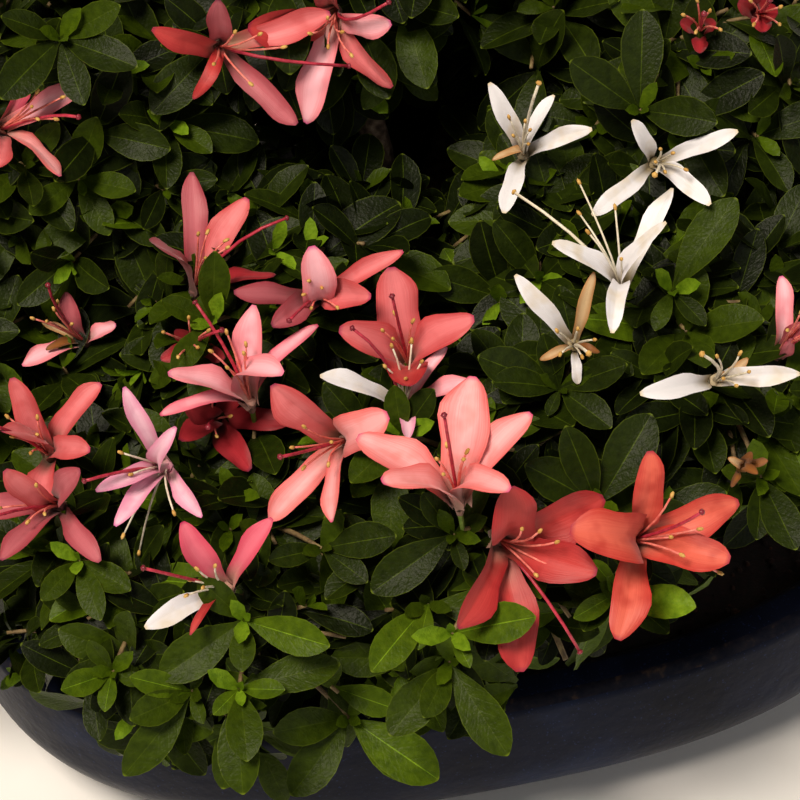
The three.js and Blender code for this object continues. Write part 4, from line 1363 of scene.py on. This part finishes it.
def add_thread(start, bend, end, foot_radius, tip_radius, look, mass):
    threads.add(
        start=start[None], bend=bend[None], end=end[None], foot=np.array([foot_radius]),
        tip=np.array([tip_radius]), look=np.array([look]), mass=np.array([mass]),
    )


def add_knob(centre, along, length, radius, look, mass):
    knobs.add(
        centre=centre[None], along=along[None], size=np.array([[length, radius, radius]]),
        look=np.array([look]), mass=np.array([mass]),
    )


def add_organs(throat, axis, kind, mass, style_tip, anther_tips):
    """Filaments with anthers, and the style with its knob."""
    pale = kind in ("white", "blush", "blush_red")
    count = 5
    angles = np.arange(count) * math.tau / count + between(0, 6)
    fan, _ = spokes(np.repeat(axis[None], count, 0), angles, np.radians(between(9, 24, count)))
    lean = unit(style_tip - throat)
    ends = throat + unit(fan + 0.35 * lean) * between(*FILAMENT_LENGTH, count)[:, None]
    ends = [*anther_tips, *ends[len(anther_tips) :]]
    filament_look = ORGAN["pale_filament" if pale else "filament"]
    for end in ends:
        bend = throat + axis * 9 + (end - throat) * 0.2
        add_thread(throat - axis * 3, bend, end, 0.36, 0.26, filament_look, mass)
        add_knob(end, unit(end - bend + between(-2, 2, 3)), 1.15, 0.55, ORGAN["anther"], mass)
    bend = throat + axis * 13 + (style_tip - throat) * 0.25
    style_look = ORGAN["pale_filament" if kind == "white" else "style"]
    add_thread(throat - axis * 3, bend, style_tip, 0.5, 0.42, style_look, mass)
    knob_look = ORGAN["anther" if kind == "white" else "stigma"]
    add_knob(style_tip, unit(style_tip - bend), 0.6, 0.9, knob_look, mass)


def add_flower(
    throat, axis, tips, kind, mass, foot, style_tip=None, anther_tips=(), kinds=(), arches=(), widths=()
):
    """A whole flower with its tube, calyx and stalk, standing on the point foot."""
    kinds = [*kinds, *[kind] * (len(tips) - len(kinds))]
    add_petals(throat, axis, tips, kinds, mass, arches, widths)
    if kind != "dried":
        if style_tip is None:
            style_tip = throat + unit(axis + between(-0.25, 0.25, 3) - 0.12 * UP) * STYLE_LENGTH
        add_organs(throat, axis, kind, mass, style_tip, anther_tips)
    base = throat - axis * TUBE_LENGTH
    add_thread(base, throat - axis * 3, throat, 1.0, 1.9, KIND[kind], mass)
    add_thread(foot, foot + unit(base - foot) * 2 + axis, base, 0.65, 0.8, ORGAN["calyx"], mass)
    axes = np.repeat(axis[None], 5, 0)
    along, face = spokes(axes, np.arange(5) * math.tau / 5, np.radians(np.full(5, 24.0)))
    buds.add(
        root=np.repeat(base[None] - axis * 0.6, 5, 0), along=along, face=face, length=np.full(5, 4.4),
        mass=np.full(5, mass), shade=np.full(5, SHADE["fresh"]),
    )


# %% [markdown]
# Where a flower that shows has fewer than five petals in view, the others are added in the widest gaps
# round its axis, so it is whole from every side.

# %% Placing the flowers that show
HIDDEN_PITCH = 62.0
BLOOM_LIFT = 8.0
ANTHER_REACH = 22.0
CARRYING_RADII = (0.85, 0.6)


def fill_round(axis, directions, wanted):
    """Adds directions in the widest gaps round an axis until there are as many as wanted."""
    side = unit(np.cross(off_axis(axis), axis))
    other = np.cross(axis, side)
    pitch = np.radians(HIDDEN_PITCH)
    while len(directions) < wanted:
        angles = np.sort(np.arctan2(directions @ other, directions @ side))
        gaps = np.diff(np.append(angles, angles[0] + math.tau))
        middle = angles[gaps.argmax()] + gaps.max() / 2
        outwards = side * math.cos(middle) + other * math.sin(middle)
        directions = np.vstack([directions, axis * math.cos(pitch) + outwards * math.sin(pitch)])
    return directions


def nearest_mass(point):
    power = ((point - CENTRES) ** 2).sum(1) - CELL_RADII**2
    return int(power.argmin())


def carry(spot, mass):
    """The point on a mass's main twigs from which a fine twig reaches a spot."""
    return branch_points(twigs_of[mass], spot[None])[0]


def add_fine_twig(start, end, mass):
    bend = (start + end) / 2 + UP * FINE_RISE * np.linalg.norm(end - start)
    foot_radius, tip_radius = CARRYING_RADII
    twig_rows.add(
        start=start[None], bend=bend[None], end=end[None], foot=np.array([foot_radius]),
        tip=np.array([tip_radius]), mass=np.array([mass]),
    )


hero_rosettes = []
for bloom in BLOOMS:
    depth = bloom.get("depth", 0) - BLOOM_LIFT
    hit = crown_hit(bloom["throat"])
    throat = hit + sight(bloom["throat"]) * depth
    mass = nearest_mass(throat)
    reaches = bloom.get("reaches", [PETAL_LENGTH] * len(bloom["tips"]))
    tips = np.array([on_sight(pixel, throat, reach) for pixel, reach in zip(bloom["tips"], reaches)])
    given = unit(tips - throat)
    axis = unit(unit(given.sum(0)) + 0.35 * BACK + 0.25 * unit(throat - CENTRES[mass]))
    extra = fill_round(axis, given, bloom.get("petals", 5))[len(given) :]
    tips = np.vstack([tips, throat + extra * min(reaches) * 0.9])
    foot = throat - axis * (TUBE_LENGTH + STALK_LENGTH)
    style = on_sight(bloom["style"], throat, STYLE_LENGTH) if "style" in bloom else None
    anthers = [on_sight(pixel, throat, ANTHER_REACH) for pixel in bloom.get("anthers", [])]
    kinds, arches, widths = (bloom.get(key, []) for key in ("kinds", "arches", "widths"))
    add_flower(throat, axis, tips, bloom["kind"], mass, foot, style, anthers, kinds, arches, widths)
    add_fine_twig(carry(foot, mass), foot, mass)
    hero_rosettes.append((foot, unit(0.6 * axis + 0.4 * UP), mass))
hero_petal_count = len(petals.column("mass"))
print("flowers in view", len(BLOOMS), "with petals", hero_petal_count)

# %% [markdown]
# Sprays that show are placed in the same way: each long leaf ends behind its own pixel, and the bud
# leaves stand up in the middle.

# %% Placing the sprays that show
SPRAY_STRETCH = 1.12
SPRAY_LIFT = 5.0
hero_leaves = Table()
for spray in SPRAYS:
    depth = spray.get("depth", 0) - SPRAY_LIFT
    centre = crown_hit(spray["centre"]) + sight(spray["centre"]) * depth
    mass = nearest_mass(centre)
    tips = np.array([on_sight(pixel, centre, LEAF_LENGTH, SPRAY_STRETCH) for pixel in spray["tips"]])
    along = unit(tips - centre)
    axis = unit(BACK + 0.4 * UP + 0.3 * unit(centre - CENTRES[mass]))
    count = len(tips)
    hero_leaves.add(
        root=np.repeat((centre - axis)[None], count, 0), along=along,
        length=np.linalg.norm(tips - centre, axis=1),
        face=facing(along, np.repeat(axis[None], count, 0) + between(-0.2, 0.2, (count, 3))),
        shade=SHADE[spray["shade"]] + (between(0, 1, count) < 0.3).astype(int), mass=np.full(count, mass),
    )
    rosette_buds(buds, centre[None], axis[None], np.ones(1), mass)
    add_fine_twig(carry(centre, mass), centre - axis, mass)
print("sprays in view", len(SPRAYS), "with leaves", len(hero_leaves.column("mass")))

# %% [markdown]
# The rest of the crown blooms too, as thickly as the part that shows. Outer rosettes outside the picture
# are picked by chance, and their flower stands over the leaves.

# %% Flowers on the rest of the crown
OTHER_BLOOMS = 92
FRAME_MARGIN = 115
FRONT_DEPTH = -130.0
KIND_ODDS = {
    "salmon": 0.25, "coral": 0.23, "rose": 0.09, "cherry": 0.05, "red": 0.05, "pink": 0.1, "blush": 0.06,
    "blush_red": 0.04, "white": 0.1, "dried": 0.03,
}
spots = rosettes.column("spot")
pixels, _ = to_pixels(spots)
in_view = ((pixels > -FRAME_MARGIN) & (pixels < PICTURE_SIDE + FRAME_MARGIN)).all(1)
axes = rosettes.column("axis")
masses_of = rosettes.column("mass")
facing_out = ((spots - CENTRES[masses_of]) * axes).sum(1) > 0
front_side = (spots - TARGET) @ BACK > FRONT_DEPTH
free = np.flatnonzero((rosettes.column("layer") == 1) & facing_out & ~(in_view & front_side))
order = chance.permutation(free)
BLOOM_SPACING = 25.0
picked = []
for candidate in order:
    apart = np.linalg.norm(spots[picked] - spots[candidate], axis=1) if picked else np.array([np.inf])
    if apart.min() > BLOOM_SPACING and len(picked) < OTHER_BLOOMS:
        picked.append(candidate)
odds = np.array(list(KIND_ODDS.values()))
kinds = chance.choice(list(KIND_ODDS), len(picked), p=odds / odds.sum())
for spot, axis, mass, kind in zip(spots[picked], axes[picked], masses_of[picked], kinds):
    axis = unit(axis + between(-0.25, 0.25, 3))
    throat = spot + axis * (TUBE_LENGTH + STALK_LENGTH - 4)
    angles = np.arange(5) * math.tau / 5 + between(0, 6) + between(-0.3, 0.3, 5)
    pitch = np.radians(between(52, 80, 5) * between(0.5, 1.1))
    directions, _ = spokes(np.repeat(axis[None], 5, 0), angles, pitch)
    lengths = PETAL_LENGTH * between(0.86, 1.04, 5) * (0.6 if kind == "dried" else 1)
    tips = throat + directions * lengths[:, None]
    add_flower(throat, axis, tips, str(kind), int(mass), spot)
print("other flowers", len(picked))


# %% [markdown]
# Now the tables become blades and tubes. Petals first, since the leaves must know where they show.

# %% Petal and hero leaf meshes
def leaf_points(table, blade, width_share, arch, fold, wave):
    """The points of a table's leaves. arch, in degrees, and fold are each a lowest and a highest value."""
    length = table.column("length")
    count = len(length)
    local = bent(
        blade, leaf_outline, length, length * width_share * between(0.9, 1.12, count),
        np.radians(between(*arch, count)), fold=between(*fold, count),
        twist=between(-0.25, 0.25, count), wave=wave,
    )
    return set_out(local, table.column("root"), table.column("along"), table.column("face"))


petal_count = len(petals.column("mass"))
petal_local = bent(
    PETAL_BLADE, petal_outline, petals.column("length"), petals.column("width"), petals.column("arch"),
    fold=between(0.4, 0.7, petal_count), fade=0.85, cup=between(-0.45, 0.1, petal_count), groove=0.2,
    twist=between(-0.45, 0.45, petal_count), wave=0.17, ruffle=0.11,
)
petal_points = set_out(petal_local, petals.column("root"), petals.column("along"), petals.column("face"))
hero_points = leaf_points(hero_leaves, LEAF_BLADE, LEAF_WIDTH_SHARE, (8, 30), (0.1, 0.3), 0.05)

# %% [markdown]
# Leaves that would stand in front of a flower or spray that shows are left out. A small depth picture
# holds how near each of those is, pixel by pixel, and each leaf of the crown is tested against it.

# %% Keeping the view of the flowers clear
SPLAT = 7
FAR_AWAY = 1e6
near_map = np.full((PICTURE_SIDE, PICTURE_SIDE), FAR_AWAY)
hero_petals = petal_points[:hero_petal_count]
shown = np.concatenate([hero_petals.reshape(-1, 3), hero_points.reshape(-1, 3)])
pixels, depths = to_pixels(shown)
for dx in range(-SPLAT, SPLAT + 1, 2):
    for dy in range(-SPLAT, SPLAT + 1, 2):
        x = np.rint(pixels[:, 0]).astype(int) + dx
        y = np.rint(pixels[:, 1]).astype(int) + dy
        inside = (x >= 0) & (x < PICTURE_SIDE) & (y >= 0) & (y < PICTURE_SIDE)
        np.minimum.at(near_map, (y[inside], x[inside]), depths[inside])

# The lower edge of the foliage, and a dark hollow near the top, as pixels. The hollow's outer leaves are
# thinned, and those that stay take the deepest tone, as painted shade in the hollow.
EDGE_MARGIN = 5
LOWER_EDGE_X = [-1, 0, 60, 130, 250, 330, 430, 500, 520, 570, 620, 700, 720, 800, 801]
LOWER_EDGE_Y = [690, 690, 720, 770, 795, 795, 780, 760, 680, 670, 650, 620, 560, 555, 555]
HOLLOW = (300, 480, 90, 250)
HOLLOW_THINNING = 0.45


def hides_flowers(points):
    """Which blades stand in front of something that has to show."""
    pixels, depths = to_pixels(points)
    x = np.clip(np.rint(pixels[..., 0]).astype(int), 0, PICTURE_SIDE - 1)
    y = np.clip(np.rint(pixels[..., 1]).astype(int), 0, PICTURE_SIDE - 1)
    nearest = near_map[y, x]
    inside = ((pixels > 0) & (pixels < PICTURE_SIDE)).all(-1) & (nearest < FAR_AWAY)
    return (inside & (depths < nearest)).sum(1) > 1


def below_edge(points):
    """Which blades show below the foliage's lower edge."""
    pixels, _ = to_pixels(points)
    inside = ((pixels > 0) & (pixels < PICTURE_SIDE)).all(-1)
    limit = np.interp(pixels[..., 0], LOWER_EDGE_X, LOWER_EDGE_Y)
    return (inside & (pixels[..., 1] > limit + EDGE_MARGIN)).any(1)


def in_dark_hollow(points):
    """Which blades show in the dark hollow."""
    pixels, _ = to_pixels(points.mean(1))
    x0, x1, y0, y1 = HOLLOW
    return (pixels[:, 0] > x0) & (pixels[:, 0] < x1) & (pixels[:, 1] > y0) & (pixels[:, 1] < y1)


def stands_in_pot(points):
    return ~clear_of_pot(points, POT_GAP).all(1)


# %% [markdown]
# The crown's leaves are now grown from the rosettes, tested, and shared out to their masses.

# %% Crown leaf meshes
for mass in range(len(NAMES)):
    for layer in (0, 1):
        rows = (masses_of == mass) & (rosettes.column("layer") == layer)
        centres = spots[rows]
        sizes = rosettes.column("size")[rows] * (1.0 if layer else 0.9)
        rosette_leaves(leaves, centres, axes[rows], sizes, rosettes.column("shade")[rows], mass, layer)
        if layer:
            budding = between(0, 1, len(centres)) < BUDDING_SHARE
            rosette_buds(buds, centres[budding], axes[rows][budding], sizes[budding], mass)
for foot, axis, mass in hero_rosettes:
    rosette_leaves(leaves, foot[None], axis[None], np.ones(1), np.ones(1, int), mass, 0)

crown_points = leaf_points(leaves, LEAF_BLADE, LEAF_WIDTH_SHARE, (6, 42), (0.08, 0.36), 0.06)
dropped = hides_flowers(crown_points) | below_edge(crown_points) | stands_in_pot(crown_points)
sunk = in_dark_hollow(crown_points)
dropped |= sunk & (leaves.column("layer") == 1) & (between(0, 1, len(crown_points)) < HOLLOW_THINNING)
# Leaves in the hollow are given the deep tone, as painted shade.
crown_shades = np.where(sunk, SHADE["deep"], leaves.column("shade"))
bud_points = leaf_points(buds, YOUNG_BLADE, 0.42, (0, 30), (0.2, 0.6), 0.0)
bud_dropped = below_edge(bud_points) | stands_in_pot(bud_points)
print("leaves", len(crown_points), "left out", int(dropped.sum()), "young leaves", len(bud_points))

# %% [markdown]
# Fine twigs join each rosette to its main twig. A twig that shows below the foliage's lower edge, or
# that stands in the pot, is left out.

# %% Fine twigs
feet = rosettes.column("foot")
ends = spots - axes * LEAF_STEP
bends = (feet + ends) / 2 + UP * FINE_RISE * np.linalg.norm(ends - feet, axis=1, keepdims=True)
foot_radii, tip_radii = (np.full(len(feet), radius) for radius in FINE_RADII)
twig_rows.add(start=feet, bend=bends, end=ends, foot=foot_radii, tip=tip_radii, mass=masses_of)
twig_points = tubes(*(twig_rows.column(name) for name in ("start", "bend", "end", "foot", "tip")))
twig_dropped = below_edge(twig_points) | stands_in_pot(twig_points)

TWIG_TONES = [(0.3, "#4b3a24"), (0.55, "#75603c"), (0.75, "#8b8450")]
twig_bark = grained(
    "young azalea twig", {"Roughness": 0.7}, TWIG_TONES,
    size=2.0, detail=4.0, bump_size=0.8, bump_depth=0.15,
)
print("twigs", len(twig_points), "left out", int(twig_dropped.sum()))

# %% [markdown]
# Last, each mass gets three joined pieces: its leaves, its twigs and its blossom.

# %% Pieces of each mass
thread_points = tubes(*(threads.column(name) for name in ("start", "bend", "end", "foot", "tip")))
knob_along = knobs.column("along")
knob_faces = facing(knob_along, np.broadcast_to(UP, knob_along.shape) + 1e-3)
knob_local = KNOB.points * knobs.column("size")[:, None]
knob_points = set_out(knob_local, knobs.column("centre"), knob_along, knob_faces)


def leaf_slots(blade, shades):
    """Each face's shade. The midrib is paler than its leaf, and on the youngest it doesn't show."""
    ribs = np.where(shades >= SHADE["fresh"], SHADE["young"], SHADE["midrib"])
    return np.where(blade.on_midrib, ribs[:, None], shades[:, None])


for mass, name in enumerate(NAMES):
    node = [f"foliage_{name}"]
    leaf_heap = Heap()
    keep = (leaves.column("mass") == mass) & ~dropped
    leaf_heap.add(LEAF_BLADE, crown_points[keep], leaf_slots(LEAF_BLADE, crown_shades[keep]))
    keep = hero_leaves.column("mass") == mass
    leaf_heap.add(LEAF_BLADE, hero_points[keep], leaf_slots(LEAF_BLADE, hero_leaves.column("shade")[keep]))
    keep = (buds.column("mass") == mass) & ~bud_dropped
    leaf_heap.add(YOUNG_BLADE, bud_points[keep], buds.column("shade")[keep])
    piece = heap_piece(f"leaves_{name}", leaf_heap, leaf_materials, node)

    twig_heap = Heap()
    keep = (twig_rows.column("mass") == mass) & ~twig_dropped
    twig_heap.add(TUBE, twig_points[keep], np.zeros(keep.sum(), int))
    heap_piece(f"twigs_{name}", twig_heap, [twig_bark], node)

    flower_heap = Heap()
    keep = petals.column("mass") == mass
    flower_heap.add(PETAL_BLADE, petal_points[keep], petals.column("kind")[keep])
    keep = threads.column("mass") == mass
    flower_heap.add(TUBE, thread_points[keep], threads.column("look")[keep])
    keep = knobs.column("mass") == mass
    flower_heap.add(KNOB, knob_points[keep], knobs.column("look")[keep])
    if flower_heap.count:
        heap_piece(f"blossom_{name}", flower_heap, blossom_materials, node)
    print(name, "leaf faces", len(piece.data.polygons))

# %% [markdown]
# The floor is a plain pale sheet. The light is a large soft window from the front left. A weak fill and a
# low window at the back show the other sides, and the inside of the crown stays dark, as in a real shrub,
# with the deep tone of its inner leaves adding painted shade.

# %% Floor and light
FLOOR_SIDE = 8.0
LIT_POINT = Vector((0, -0.05, 0.13))
floor_bm = bmesh.new()
bmesh.ops.create_grid(floor_bm, x_segments=1, y_segments=1, size=FLOOR_SIDE / 2)
floor_mesh = bpy.data.meshes.new("floor")
floor_bm.to_mesh(floor_mesh)
floor_bm.free()
floor = put_in_scene("floor", floor_mesh)
floor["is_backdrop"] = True
TABLE_TONES = [(0.3, "#f5f2f0"), (0.7, "#faf9f8")]
floor_mesh.materials.append(grained("pale matt table", {"Roughness": 0.7}, TABLE_TONES, size=60.0))


def add_window(name, place, size, power, tint):
    """A square area light in metres that looks at the crown."""
    data = bpy.data.lights.new(name, "AREA")
    data.size = size
    data.energy = power
    data.color = linear(tint)[:3]
    lamp = put_in_scene(name, data)
    towards = Vector(place) - LIT_POINT
    lamp.matrix_world = Matrix.Translation(place) @ towards.to_track_quat("Z", "Y").to_matrix().to_4x4()


add_window("key_window", (-0.7, -0.7, 2.3), 0.7, 72.0, "#fff2e0")
add_window("fill_window", (1.0, -1.6, 1.3), 1.6, 8.0, "#f6f4f2")
add_window("back_window", (0.9, 2.0, 0.9), 1.4, 20.0, "#fff2e0")

world = bpy.data.worlds.new("room")
world.use_nodes = True
world.node_tree.nodes["Background"].inputs["Color"].default_value = linear("#efe6d6")
world.node_tree.nodes["Background"].inputs["Strength"].default_value = 0.08
bpy.context.scene.world = world
bpy.context.scene.view_settings.view_transform = "Standard"

# %% [markdown]
# The sizes of the CAD model and of the dressed plant are kept side by side, and the script ends.

# %% Sizes and the end
sizes = {"cad": [list(corner) for corner in cad_box], "visual": [list(corner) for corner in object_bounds()]}
for key, (low, high) in sizes.items():
    print(key, [round((b - a) / MM) for a, b in zip(low, high)], "mm")
